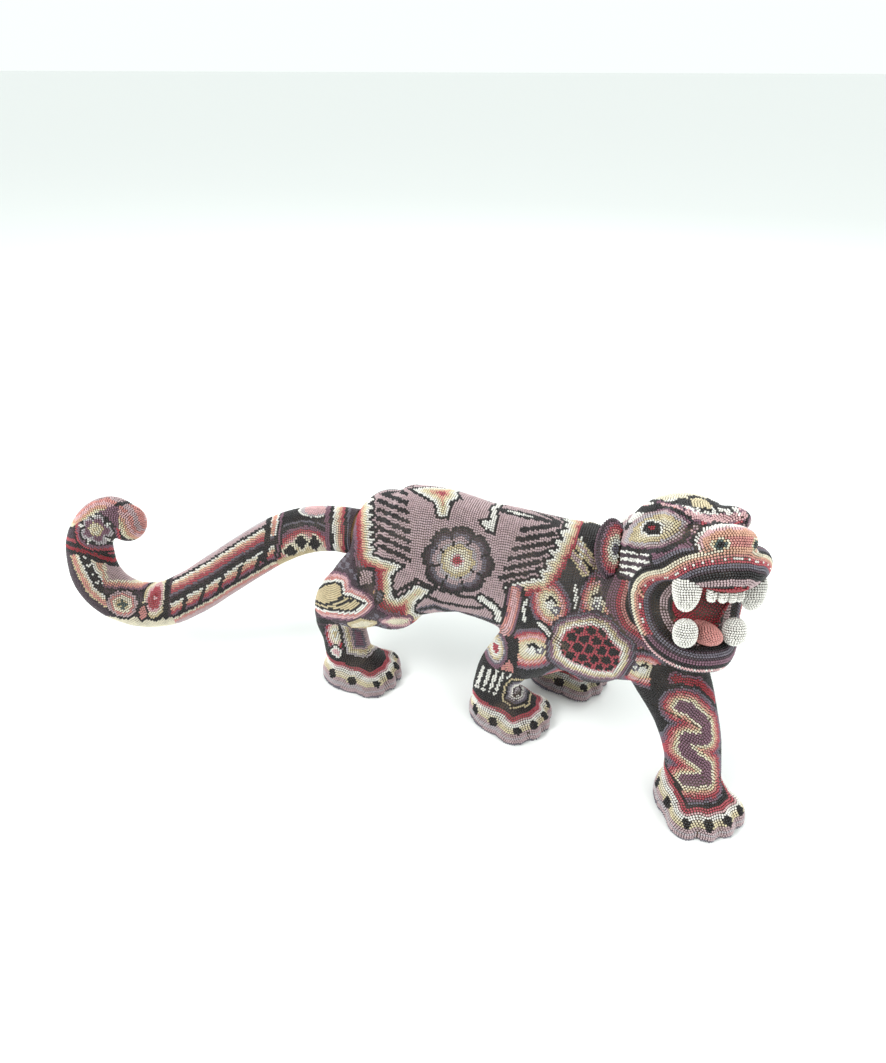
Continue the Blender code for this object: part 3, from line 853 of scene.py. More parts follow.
def waxCoat(name, solid, opening):
    # the thin layer of wax under the beads: open at the soles or at the root, and closed as a shell
    soup = bmesh.new()
    soup.from_mesh(solid.data)
    everything = soup.verts[:] + soup.edges[:] + soup.faces[:]
    bmesh.ops.bisect_plane(
        soup, geom=everything, plane_co=(0, 0, 0.0001), plane_no=(0, 0, -1), clear_outer=True)
    soup.verts.ensure_lookup_table()
    points = np.array([v.co for v in soup.verts]) / mm
    gone = [soup.verts[int(i)] for i in np.where(opening(points))[0]]
    bmesh.ops.delete(soup, geom=gone, context="VERTS")
    soup.normal_update()
    for corner in soup.verts:
        inward = -corner.normal
        if corner.co.z < 0.001:
            inward.z = 0
        corner.co += inward * (beads["height"] * mm)
    soup.to_mesh(solid.data)
    soup.free()
    thick = solid.modifiers.new("thick", "SOLIDIFY")
    thick.thickness = form["waxThickness"] * mm
    thick.offset = -1
    settle(solid)
    for corner in solid.data.vertices:      # the rim stands on the floor, not in it
        corner.co.z = max(corner.co.z, 0.0)
    solid.name = solid.data.name = name
    return solid


# everything of the figure below rides on the CAD bodies as one piece or another
speckle = speckleGroup()
glassBeads = glassBeadMaterial(speckle)
beeswax = waxMaterial(speckle)
carvedWood = woodMaterial("carvedWood", (0.50, 0.33, 0.17), (0.27, 0.155, 0.07), speckle)
dowelWood = woodMaterial("dowelWood", (0.70, 0.54, 0.33), (0.46, 0.31, 0.16), speckle)
bead = newObject("bead", beadMesh())
tree = beadTree(bead)


def dress(thing, body, material=None, instead=()):
    # a finished piece: its material, the body it rides on and the CAD nodes it stands for
    if material is not None:
        thing.data.materials.clear()
        thing.data.materials.append(material)
        thing.data.shade_smooth()
    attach(thing, body)
    if instead:
        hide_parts(*instead)
    return thing


def beadPieces(name, spots, directions, colours, body, most=8400):
    # one piece of beads, or several where one would be too heavy
    count = max(1, math.ceil(len(spots) / most))
    order = np.argsort(spots[:, 0], kind="stable")
    for part, chosen in enumerate(np.array_split(order, count)):
        label = name if count == 1 else "%s%d" % (name, part + 1)
        chosen = np.sort(chosen)
        thing = setBeads(label, spots[chosen], directions[chosen], colours[chosen], tree, glassBeads)
        dress(thing, body)
        print(label, len(chosen), "beads")


def clearOf(thing, core, least):
    # the surface stays this far outside the carved wood, so none of it shows in the mouth
    place = core.matrix_world
    coreTree = BVHTree.FromPolygons(
        [(place @ v.co)[:] for v in core.data.vertices], [tuple(p.vertices) for p in core.data.polygons])
    forward = headLocal(np.array([v.co for v in thing.data.vertices]) / mm)[:, 0]
    for corner in thing.data.vertices:
        near, normal, _, distance = coreTree.find_nearest(corner.co, 0.008)
        if near is None or forward[corner.index] < 0:
            continue
        gap = distance if (corner.co - near).dot(normal) > 0 else -distance
        if gap < least * mm:
            corner.co += normal * (least * mm - gap)


figureForm = carveFigure(form["grid"], form["smoothing"])
clearOf(figureForm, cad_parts["head_core"], 2.8)
print("figure carved")
spots, directions, reach, labels = figureBeads(figureForm)
rim = beads["radius"] * np.sqrt(np.clip(1 - directions[:, 2] ** 2, 0, 1))
lowest = spots[:, 2] - directions[:, 2] * (beads["height"] + 0.1) - rim
spots[:, 2] += np.maximum(0, -lowest)      # beads round the soles stand on the floor
pawSpots = np.array([[x + shift[0], y + shift[1]] for x, y, _ in paws.values()])
nearest = np.argmin(np.linalg.norm(spots[:, None, :2] - pawSpots[None], axis=2), axis=1)

tailForm = carveTail(form["grid"], 4)
tailSpots, tailDirections = tailBeads(tailForm)


def rgb(code):
    # from a colour as seen to a linear one
    parts = [int(code[i:i + 2], 16) / 255 for i in (0, 2, 4)]
    return [c / 12.92 if c < 0.04045 else ((c + 0.055) / 1.055) ** 2.4 for c in parts]


palette = {     # the colours of glass on hand
    "black": "1f1c1f", "dark": "4b3a44", "slate": "78727e", "purple": "8d6678", "mauve": "cab0b3",
    "grey": "c8bfc3", "white": "fcfaf3", "cream": "f6edd5", "yellow": "ecdeb9", "orange": "e8b49b",
    "red": "c0545f", "crimson": "ac2f3c", "coral": "dc9790", "pink": "e8bcbe", "tan": "dccaa2",
    "teal": "4e625f",
}
paint = {name: np.array(rgb(code)) for name, code in palette.items()}
slant = {"turn": 15, "tilt": 28}    # the plane the patterns are laid out on, in degrees


def layout(points):
    # two coordinates in mm on the pattern plane: along the figure, and up
    c, s = math.cos(math.radians(slant["turn"])), math.sin(math.radians(slant["turn"]))
    up, away = math.cos(math.radians(slant["tilt"])), math.sin(math.radians(slant["tilt"]))
    along = points[:, 0] * c + points[:, 1] * s
    return along, points[:, 2] * up + (points[:, 1] * c - points[:, 0] * s) * away


class Pattern:
    # one field of beads and the colours threaded on it; later shapes cover earlier ones
    def __init__(self, u, v, ground):
        self.u, self.v = u, v
        self.name = np.full(len(u), list(paint).index(ground))
        self.order = list(paint)

    def put(self, where, name):
        self.name[where] = self.order.index(name)

    def inside(self, corners):
        found = np.zeros(len(self.u), dtype=bool)
        last = corners[-1]
        for here in corners:
            (x1, y1), (x2, y2) = last, here
            if y1 != y2:
                spans = (y1 > self.v) != (y2 > self.v)
                found ^= spans & (self.u < (x2 - x1) * (self.v - y1) / (y2 - y1) + x1)
            last = here
        return found

    def away(self, corners, closed=False):
        # distance to a line of corners
        best = np.full(len(self.u), np.inf)
        pairs = list(zip(corners, corners[1:])) + ([(corners[-1], corners[0])] if closed else [])
        for (x1, y1), (x2, y2) in pairs:
            dx, dy = x2 - x1, y2 - y1
            t = np.clip(((self.u - x1) * dx + (self.v - y1) * dy) / (dx * dx + dy * dy + 1e-9), 0, 1)
            best = np.minimum(best, np.hypot(self.u - x1 - t * dx, self.v - y1 - t * dy))
        return best

    def deep(self, corners):
        # distance from a closed outline, below zero inside it
        reach = self.away(corners, True)
        return np.where(self.inside(corners), -reach, reach)

    def bands(self, reach, steps, where=True):
        # steps of (upper limit, colour) from the outermost inwards
        for limit, name in steps:
            self.put((reach < limit) & where, name)

    def shape(self, corners, steps, where=True):
        self.bands(self.deep(corners), steps, where)

    def stroke(self, corners, steps, where=True):
        self.bands(self.away(corners), steps, where)

    def round(self, centre, radii, steps, tilt=0, where=True):
        # steps are in mm of the longer radius
        c, s = math.cos(math.radians(tilt)), math.sin(math.radians(tilt))
        du, dv = self.u - centre[0], self.v - centre[1]
        a, b = (du * c + dv * s) / radii[0], (dv * c - du * s) / radii[1]
        self.bands(np.hypot(a, b) * max(radii), steps, where)

    def colours(self):
        table = np.array([paint[name] for name in self.order])
        return table[self.name]


def petalFlower(pattern, centre, size, petals, turn):
    # a round flower: notched black outline, shaded petals, pale ring and red heart
    du, dv = pattern.u - centre[0], pattern.v - centre[1]
    reach = np.hypot(du, dv) / size
    angle = np.arctan2(dv, du) - math.radians(turn)
    notch = np.abs(np.sin(angle * petals / 2))
    edge = 0.84 + 0.13 * np.sqrt(notch)
    relative = reach / edge
    pattern.bands(relative, [
        (1.10, "black"), (0.98, "dark"), (0.88, "slate"), (0.76, "mauve"), (0.62, "grey"),
        (0.52, "tan"),
    ])
    spokes = (notch < 0.15) & (reach > 0.45) & (relative < 1.09)
    pattern.put(spokes, "black")
    pattern.bands(reach, [(0.38, "cream"), (0.24, "white"), (0.18, "pink"), (0.12, "red")])


def featherBars(pattern, starts, ends, count, width, where=True):
    # bars fanned between two short lines
    for i in range(count):
        t = i / (count - 1)
        a = [starts[0][k] * (1 - t) + starts[1][k] * t for k in (0, 1)]
        b = [ends[0][k] * (1 - t) + ends[1][k] * t for k in (0, 1)]
        pattern.stroke([a, b], [(width / 2, "black")], where)


def jagged(start, end, teeth, depth):
    # a stepped line from start to end with teeth standing to its left
    (x1, y1), (x2, y2) = start, end
    long = math.hypot(x2 - x1, y2 - y1)
    nx, ny = -(y2 - y1) / long, (x2 - x1) / long
    corners = []
    for i in range(teeth):
        for t, out in ((i + 0.05, 0), (i + 0.5, depth), (i + 0.62, depth), (i + 0.95, 0)):
            t /= teeth
            corners.append((x1 + (x2 - x1) * t + nx * out, y1 + (y2 - y1) * t + ny * out))
    return corners


halo = [(19, "dark"), (14.5, "purple"), (11.5, "crimson"), (9.5, "red"), (7.3, "orange"), (5.3, "yellow"),
        (3.8, "cream"), (2.3, "white"), (0.2, "black"), (-1.9, "mauve")]


def paintTorso(u, v):
    p = Pattern(u, v, "dark")
    p.put((np.floor(u / 4.1) + np.floor(v / 4.1)) % 2 == 0, "slate")
    # bands along the back, above the bird
    p.bands(-v - 0.18 * u, [
        (-188, "purple"), (-195, "red"), (-199, "orange"), (-203, "cream"), (-207, "mauve"),
    ], (u > 20) & (v > 150))
    # the spread bird: wings over the haunch and the ribs, its edge haloed
    wingLeft = jagged((-14, 182), (-10, 128), 8, -4.5)
    wingRight = jagged((109, 113), (134, 156), 6, -4.5)
    bird = (
        [(-8, 200)] + wingLeft + [(12, 121), (5, 117), (2, 112), (2, 96), (6, 94), (13, 98), (22, 106),
        (34, 101), (27, 96), (20, 89), (20, 81), (30, 78), (50, 74), (75, 70), (88, 68), (91, 78), (93, 92),
        (91, 103), (89, 107), (97, 110)] + wingRight + [(120, 158), (100, 162), (88, 166), (84, 169),
        (80, 170), (72, 172), (64, 176), (56, 176), (49, 172), (47, 160), (39, 160), (37, 172), (12, 186),
        (11, 200)]
    )
    p.shape(bird, halo)
    p.put((p.deep(bird) < -1.9), "mauve")
    body = p.deep(bird) < -1.5
    featherBars(p, [(-8, 137), (-10, 189)], [(17, 126), (14, 179)], 8, 3.5, body)
    featherBars(p, [(86, 113), (103, 150)], [(110, 119), (130, 154)], 6, 3.4, body)
    # lower edge of the bird: tail feathers and feet
    p.stroke([(3, 98), (12, 103), (22, 110), (34, 104), (45, 101), (60, 97), (75, 95)],
             [(1.4, "black")], body)
    p.stroke([(22, 92), (30, 96), (44, 91), (60, 88), (74, 88)], [(1.3, "black")], body)
    p.stroke([(24, 84), (36, 87), (50, 82), (68, 79), (86, 76)], [(2.4, "slate"), (1.2, "black")], body)
    p.stroke([(72, 96), (79, 92), (85, 86), (86, 79)], [(4.4, "black"), (2.2, "white")], body)
    p.shape([(72, 157), (76, 151), (82, 148), (84, 158), (86, 172), (82, 170), (80, 158), (77, 157)],
            [(2.0, "black"), (0.0, "white")])
    petalFlower(p, (54, 125.5), 26, 8, 12)
    # tan patch on the hock, with its black steps and pale halo
    patch = [(-76, 86), (-70, 96), (-58, 104), (-46, 107), (-40, 106), (-39, 96), (-32, 96), (-20, 91),
             (-29, 83), (-38, 82), (-60, 82)]
    p.shape(patch, [(11.5, "dark"), (8.8, "purple"), (6.8, "pink"), (4.6, "coral"), (2.6, "white"),
                    (0.4, "black"), (-1.6, "tan")])
    p.stroke([(-70, 88), (-56, 86), (-46, 90), (-40, 94)], [(1.3, "black")])
    p.stroke([(-45, 86), (-38, 90), (-30, 93)], [(1.2, "black")])
    p.shape([(-23, 106), (-14, 106), (-14, 117), (-23, 117)], [(2.4, "black"), (0, "mauve")])
    p.round((-8, 96), (3.4, 5), [(5.5, "black"), (3.5, "slate")])
    # folded bands between the haunch and the belly
    p.shape([(-6, 74), (4, 78), (16, 76), (14, 71), (2, 70)],
            [(3.4, "purple"), (1.4, "pink"), (-0.6, "cream")])
    p.shape([(-36, 70), (-24, 75), (-12, 73), (-20, 67), (-34, 66)],
            [(3.0, "dark"), (1.2, "tan"), (-1, "cream")])
    return p


def paintShoulder(p):
    # rosette of dark six-sided spots in a red net, ringed, with petals standing round it
    u, v = p.u, p.v
    chest = (u > 94) & ((u > 104) | (v < 112)) & (v < 158 - 0.1 * (u - 120))
    edge = np.interp(v, [97, 112, 158], [100, 126, 150])    # where the halo of the wing ends
    front = ((u > 96) & (v < 97)) | (chest & (u > edge))
    p.put(front & (p.away([(91, 70), (93, 92), (91, 104)]) > 9), "black")
    petals = [
        ((121, 95), (21, 13.5), 104), ((154, 99), (21, 13), 80), ((110, 58), (19, 15), 200),
        ((188, 76), (19, 12), 22), ((190, 46), (17, 11), -24), ((134, 26), (18, 12), 255),
    ]
    for centre, radii, tilt in petals:
        p.round(centre, radii, [
            (24.5, "black"), (22, "slate"), (20.2, "purple"), (18, "red"), (16, "coral"), (14.2, "pink"),
            (12.4, "orange"), (10.4, "yellow"), (8.2, "cream"), (4.4, "white"),
        ], tilt, front)
        inward = (centre[0] + (151 - centre[0]) * 0.14, centre[1] + (62 - centre[1]) * 0.14)
        p.round(inward, (3.4, 3), [(3.4, "slate"), (1.8, "white")], tilt, front)
        hook = [(centre[0] + du, centre[1] + dv) for du, dv in ((-2, 3), (1, 5), (4, 2))]
        p.stroke(hook, [(1.1, "black")], front)
    rosette = [(131, 76), (137, 80), (150, 83), (159, 80), (166, 70), (173, 64), (174, 52), (170, 42),
               (156, 43), (138, 49), (129, 56), (128, 66)]
    p.shape(rosette, [
        (9, "dark"), (7.6, "slate"), (6, "purple"), (4.4, "mauve"), (3.2, "tan"), (1.8, "cream"),
        (0.2, "white"), (-1.4, "pink"), (-2.4, "red"),
    ], front)
    net = (p.deep(rosette) < -2.6) & front
    cell = {"wide": 8.4, "high": 7.2}
    row = np.round((v - 62 + 0.10 * (u - 150)) / cell["high"])
    du = (u - 150 + cell["wide"] / 2 * (row % 2)) / cell["wide"]
    dv = (v - 62 + 0.10 * (u - 150)) / cell["high"] - row
    spot = np.hypot((du - np.round(du)) * cell["wide"], dv * cell["high"])
    p.put(net, "red")
    p.put(net & (spot < 3.3), "black")
    # wedges between the petals with short white bars, and the neck's stripes
    for line in ([(138, 93), (139, 101), (138, 110)], [(104, 81), (103, 92), (105, 97)],
                 [(113, 80), (119, 76), (122, 71)], [(168, 92), (164, 101), (162, 108)]):
        p.stroke(line, [(2.9, "black"), (1.2, "white")], front)
    p.stroke([(140, 118), (147, 132), (150, 143)], [(8.5, "black")], front)
    for start, end in (((136, 135), (146, 119)), ((141, 142), (153, 125))):
        p.stroke([start, end], [(3.4, "tan"), (1.4, "mauve")], front)
    for i in range(5):
        p.round((145.5 - 0.6 * i, 144 - 4.4 * i), (1.5, 1.5), [(1.5, "white")])
    # toe of the halo that runs down behind the foreleg
    p.stroke([(91, 66), (95, 84), (97, 104)], [
        (6.4, "black"), (4.6, "purple"), (3.4, "coral"), (1.6, "pink"),
    ], (v < 108) & (u > 88))
    return p


def paintFigure(points, labels, reach, legs):
    # every bead takes its colour where it stands; the left side mirrors the right
    middle = np.interp(points[:, 0], [s[0] + shift[0] for s in spineStations],
                       [s[1] + shift[1] for s in spineStations])
    folded = points.copy()
    left = (points[:, 1] > middle) & (labels == 3)
    folded[left, 1] = 2 * middle[left] - points[left, 1]
    u, v = layout(folded)
    colours = np.zeros((len(points), 3))
    torso = labels == 3
    colours[torso] = paintShoulder(paintTorso(u[torso], v[torso])).colours()
    along, high = layout(points)
    upperEnds = {     # where a foreleg's own pattern runs up on to the body
        "foreRight": torso & ~left & (along < 101) & (along > 60) & (high < 66),
        "foreLeft": torso & (along > 197) & (high < 50) & (points[:, 2] < 125),
    }
    for name, member in legs.items():
        chosen = (member & (labels == 2)) | upperEnds.get(name, False)
        colours[chosen] = paintLeg(name, points[chosen], reach[chosen]).colours()
    face = labels <= 1
    colours[face] = paintHead(points[face], labels[face], reach[face]).colours()
    return colours


def paintPaw(p, name, points, sole):
    # bands round each paw from the sole up, and a black spot on every toe
    x, y, heading = paws[name]
    turn = math.radians(heading)
    dx, dy = points[:, 0] - shift[0] - x, points[:, 1] - shift[1] - y
    forward = dx * math.cos(turn) + dy * math.sin(turn)
    aside = dy * math.cos(turn) - dx * math.sin(turn)
    tall = sole / (1 + 0.16 * np.clip((18 - forward) / 50, 0, 1))
    low = (tall < 30) & (sole < 40) & (points[:, 2] < 45)
    p.bands(tall, [(27.4, "black"), (25, "red"), (22, "pink"), (20.8, "white"), (17, "cream"),
                   (14, "yellow"), (11.4, "mauve"), (8.4, "grey"), (5.6, "mauve"), (2.8, "slate")], low)
    for side in pawShape["spread"]:
        ahead = 25 - 0.018 * side * side + 12.5
        outward = side * 1.22
        gap = np.sqrt((forward - ahead) ** 2 + (aside - outward) ** 2 + (points[:, 2] - 16.5) ** 2)
        p.put((gap < 5.8) & low, "black")
    for ahead, outward in ((4, 28), (4, -28), (-18, 24), (-18, -24)):
        gap = np.sqrt((forward - ahead) ** 2 + (aside - outward) ** 2 + (points[:, 2] - 14) ** 2)
        p.put((gap < 4.8) & low, "black")


def paintLeg(name, points, sole):
    u, v = layout(points)
    if name == "hindLeft":
        u, v = u - 187.7, v + 1.2
    p = Pattern(u, v, "black")
    if name.startswith("hind"):
        p.put(v > 66, "dark")
        p.round((-51, 58), (7, 12), [
            (17, "purple"), (14.5, "crimson"), (12, "pink"), (9.2, "cream"), (6, "white"), (3.2, "tan"),
        ])
        p.shape([(-43, 70), (-40, 42), (-26, 38), (-18, 44), (-22, 64), (-32, 70)],
                [(5, "black"), (2.4, "grey"), (0.2, "cream"), (-1.8, "tan"), (-3.8, "mauve"), (-6, "slate"),
                 (-8, "purple")])
        p.shape([(-58, 42), (-52, 47), (-46, 42), (-50, 35)],
                [(2.2, "black"), (0.6, "white"), (-1.4, "pink")])
        p.stroke([(-72, 70), (-30, 71)], [(2.6, "black")])
    elif name == "foreRight":
        p.round((85, 55), (5, 10), [
            (17, "purple"), (14, "slate"), (12, "grey"), (10.4, "tan"), (8.6, "cream"), (6.2, "white"),
            (4.0, "red"),
        ])
        for i in range(6):
            a, b = (70.5 + 5.2 * i, 37.5 - 0.8 * i), (66.5 + 5.2 * i, 23 - 1.2 * i)
            p.stroke([a, b], [(1.3, "white")])
            p.round((66 + 5.0 * i, 20.5 - 1.6 * i), (1.5, 1.5), [(1.5, "white")])
        p.shape([(95, 46), (89.5, 38.5), (98.5, 36.5)], [(0.8, "coral"), (-2.0, "orange")])
        p.shape([(93, 22), (98, 30), (112, 29), (121, 16), (116, 3), (100, 1), (92, 8)],
                [(2.0, "black"), (-0.2, "tan"), (-2.0, "black"), (-4.0, "slate"), (-5.8, "grey"),
                 (-7.4, "white"), (-9.2, "dark"), (-10.8, "grey")])
    else:
        p.put(v > 30, "black")
        p.stroke([(214, 40), (232, 36), (244, 24)], [(5.4, "purple"), (3.2, "crimson")])
        serpent = [(217, 20), (224, 19), (236, 7), (237, -4), (221, -3), (220, -12), (237, -25),
                   (238, -34), (222, -35)]
        p.bands(p.away(serpent), [
            (16.6, "black"), (14.6, "slate"), (13.2, "purple"), (11.4, "red"), (9.4, "coral"),
            (7.8, "orange"), (6.8, "yellow"), (5.6, "cream"), (3.9, "purple"),
        ])
    paintPaw(p, name, points, sole)
    return p


def paintHead(points, labels, lip):
    # the face mirrors about its own middle; bands run round the lips, then eye, nose and brow
    place = Matrix.Translation(carverZero) @ headFrame()
    local = headLocal(points)
    local[:, 1] = -np.abs(local[:, 1])
    folded = local @ np.array(place.to_3x3()).T + np.array(place.translation) / mm
    u, v = layout(folded)
    p = Pattern(u, v, "dark")
    p.put((np.floor(u / 5) + np.floor(v / 5)) % 2 == 0, "purple")
    p.bands(lip, [(72, "dark"), (66, "purple"), (60, "red"), (56, "coral"), (52, "black"), (49, "mauve"),
                  (44, "purple"), (38, "slate")], v < 142)
    # crown and brow
    crown = [(186, 171), (196, 167), (203, 169), (209, 164), (214, 162), (219, 163), (224, 167),
             (236, 166), (246, 170), (246, 200), (186, 200)]
    p.shape(crown, [
        (8.6, "red"), (5.6, "pink"), (3.2, "white"), (0.8, "black"), (-1.4, "white"), (-3, "cream"),
    ])
    p.shape([(203, 167), (205, 171), (211, 170), (212, 166)], [(1.2, "black")])
    p.shape([(212, 166), (213, 171), (219, 172), (222, 168), (218, 164.5)],
            [(2.4, "black"), (0.2, "yellow")])
    p.shape([(191, 160), (192, 169), (199, 166), (203, 160), (199, 158)],
            [(2.4, "black"), (1.4, "purple"), (0.2, "pink"), (-2, "coral")])
    p.stroke([(203, 160), (212, 158.5), (222, 156.5)], [(3.4, "purple"), (2.6, "pink")])
    p.shape([(226, 158), (234, 166), (240, 165), (240, 160), (232, 156)], [(2.0, "black"), (0.2, "red")])
    p.stroke([(230, 158), (238, 163)], [(1.3, "black")])
    for i in range(3):
        p.stroke([(209 + 3.6 * i, 160.5 + 0.4 * i), (207 + 3.6 * i, 164 + 0.4 * i)], [(1.0, "white")])
    p.stroke([(176, 137.5), (188, 140.5), (200, 145)], [(1.1, "mauve")])
    p.stroke([(201, 154), (208, 151), (214, 151)], [(1.2, "mauve")])
    p.stroke([(202, 150), (207, 147.5), (211, 147)], [(1.1, "pink")])
    # cheek bars and the ground behind the eye
    p.shape([(168, 116), (168, 136), (178, 136), (178, 114)], [(1.6, "black"), (0, "dark")])
    for i in range(4):
        p.stroke([(169, 134 - 5 * i), (177, 133.5 - 5 * i)], [(1.1, "white")])
    # eye
    almond = [(170, 142), (174, 152), (182, 159), (191, 161), (200, 154), (197, 147), (186, 142), (176, 140)]
    p.shape(almond, [(6.4, "black"), (3.6, "purple"), (2.2, "mauve"), (0.9, "grey"), (-0.6, "tan"),
                     (-2.2, "yellow"), (-4.0, "cream")])
    p.round((183.5, 150.8), (6.6, 5.6), [(6.6, "white"), (4.9, "black")], 25)
    p.round((183.5, 151.2), (1.6, 1.6), [(1.6, "crimson")])
    p.stroke([(169, 150), (174, 158), (182, 164), (191, 166)], [(2.2, "black")])
    p.stroke([(172, 155), (180, 161)], [(1.2, "white")])
    # lips
    lips = labels == 1
    below = v < 78
    p.bands(lip, [
        (33, "black"), (30.6, "white"), (29.2, "cream"), (27.2, "orange"), (24.2, "coral"), (22.4, "red"),
        (18.4, "slate"), (15, "dark"), (13, "black"), (8.6, "mauve"), (2.6, "black"),
    ], lips & (v < 150))
    p.bands(lip, [
        (32, "pink"), (27.4, "black"), (24, "purple"), (20.5, "dark"),
    ], lips & below & (lip > 18.4))
    dotRow = np.abs(lip - 29.6 + 8.6 * ~below) < 0.95
    p.put(lips & dotRow & (np.floor(u / 2.6 + v / 2.6) % 3 == 0), "white")
    p.put(labels == 0, "crimson")
    p.put((labels == 0) & (lip < 1.5), "black")
    # nose
    nose = [(209, 134), (209, 143), (214, 148), (224, 150.5), (236, 150), (246, 146), (248, 134)]
    above = v > 135.4
    p.shape(nose, [(5.2, "black"), (3.4, "white"), (1.6, "pink"), (0, "orange"), (-5, "coral")], above)
    p.round((218.4, 140), (6, 4.6), [(6, "cream"), (4.8, "tan"), (4, "teal"), (2.4, "black")], 10, above)
    return p


def tailMiddle(u):
    # height of the middle of the tail on the pattern plane, along the straight run
    return np.interp(u, [-215, -195, -160, -130, -100, -75, -40], [86, 91, 108, 126, 142, 149, 152])


def paintTail(points):
    u, v = layout(points)
    p = Pattern(u, v, "dark")
    w = (v - tailMiddle(u)) * 0.88
    run = (u > -196) & (u < -98)
    p.bands(-w, [
        (99, "purple"), (23, "mauve"), (20.8, "coral"), (19, "cream"), (17.6, "black"), (15.2, "purple"),
        (13.4, "red"), (11.4, "orange"), (8.4, "cream"), (6.6, "white"), (5.2, "black"), (1.0, "dark"),
        (-0.6, "slate"), (-2.4, "red"), (-5.6, "coral"), (-7.4, "orange"), (-9.2, "cream"),
        (-10.6, "white"), (-12.0, "black"), (-14.2, "mauve"), (-17.6, "grey"),
    ], run)
    for i in range(6):
        at = -108 - 17.5 * i
        line = [(at, float(tailMiddle(at)) - 3), (at - 9, float(tailMiddle(at - 9)) - 19)]
        p.stroke(line, [(1.5, "black")], run & (w < -6) & (w > -17))
    # rings at the root and the half rosette beside them
    root = u >= -98
    p.put(root, "black")
    p.round((-72, 128), (27, 25), [(33, "slate"), (31, "black"), (27, "purple"), (24, "red"), (21, "coral"),
                                   (18.4, "pink"), (16.6, "cream"), (10, "tan")], 0, root & (v < 163))
    for centre in ((-64, 138), (-75, 139), (-85, 131)):
        p.shape([(centre[0] - 5, centre[1]), (centre[0], centre[1] + 6), (centre[0] + 4.6, centre[1]),
                 (centre[0], centre[1] - 6)], [(2.2, "cream"), (0.6, "black")], root)
    p.put(root & (w < -16.5), "tan")
    p.round((-64, 167), (15, 6.5), [
        (17.5, "black"), (14.8, "white"), (12.6, "grey"), (9.6, "pink"),
    ], 0, root)
    p.bands(-u, [(55, "purple"), (51.5, "black"), (48.4, "white"), (46.2, "cream"), (43.8, "orange"),
                 (41.2, "red"), (39.0, "black"), (36.6, "slate"), (34.4, "dark")], u > -55)
    p.stroke([(-93, 172), (-93, 146), (-96, 128)], [(2.8, "black"), (1.0, "purple")])
    p.stroke([(-99, 172), (-99, 150), (-100, 147)], [(3.4, "white"), (1.8, "orange"), (0.6, "coral")])
    p.stroke([(-105, 168), (-104, 142), (-108, 124)], [(2.6, "black")])
    # the bend: loop, small cross, triangle and the stepped diamonds outside it
    bend = (u <= -196) & (v < 132)
    p.put(bend, "dark")
    p.put(bend & (v < 72), "cream")
    p.round((-211, 90), (9, 16), [(22, "black"), (19, "tan"), (16.4, "cream"), (13.6, "pink"), (10.5, "red"),
                                  (5.0, "crimson"), (2.4, "pink")], -8, bend)
    p.round((-240, 84), (13, 12), [(15.6, "black"), (13.2, "mauve"), (10.6, "coral"), (8.6, "cream"),
                                   (5.4, "tan")], 0, bend)
    p.stroke([(-244, 84), (-236, 84)], [(1.2, "teal")])
    p.stroke([(-240, 80), (-240, 88)], [(1.2, "teal")])
    p.shape([(-225, 78), (-220, 84), (-219, 74), (-225, 70)], [(2.4, "black"), (0.4, "coral")], bend)
    p.stroke([(-202, 108), (-199, 92), (-202, 72)], [(2.6, "black")], v < 110)
    p.shape([(-252, 127), (-251, 106), (-228, 104), (-228, 116), (-246, 132)], [
        (9, "black"), (7.2, "purple"), (5.2, "coral"), (3.2, "orange"), (1.6, "cream"), (-0.4, "mauve"),
    ], (u <= -215) & (v < 140) & (v > 96))
    outer = (u < -254) & (v < 136)
    steps = [(-266, 126), (-263, 115), (-258, 101), (-250, 93)]
    p.stroke(steps, [
        (13, "tan"), (11.4, "coral"), (9.4, "orange"), (7.2, "cream"), (5.0, "white"), (3.6, "black"),
    ], outer)
    for i in range(4):
        centre = (-265.5 + 2.4 * i, 126 - 7.6 * i)
        p.round(centre, (1.6, 1.6), [(1.6, "white")], 0, outer)
    # spiral lines, star flower and the shaded knob
    tip = (v >= 128) & (u < -200) & ((v > 141) | (u < -246))
    p.put(tip, "dark")
    for i, name in enumerate(("red", "black", "crimson", "black")):
        p.stroke([(-284, 143 - 3.4 * i), (-262, 137 - 3.4 * i), (-246, 129 - 3.4 * i)], [(1.5, name)],
                 (u < -240) & (v < 150))
    petalFlowerSmall(p, (-253, 150), tip)
    knob = [(-258, 176), (-244, 173), (-236, 166), (-228, 156)]
    p.stroke(knob, [(10.5, "black"), (8.6, "purple")], tip & (v > 150))
    sweep = p.away([(-272, 166), (-260, 176), (-246, 180), (-232, 174), (-222, 162), (-219, 150)])
    p.bands(sweep, [
        (17, "black"), (14.8, "cream"), (12.4, "yellow"), (10.4, "orange"), (7.6, "pink"), (4.6, "coral"),
        (1.8, "mauve"),
    ], tip & ((v > 165 + 0.5 * (u + 250)) | (u > -234)))
    p.stroke([(-236, 172), (-229, 174)], [(1.8, "black")])
    p.round((-228, 163), (2.6, 2.6), [(2.6, "pink")])
    return p


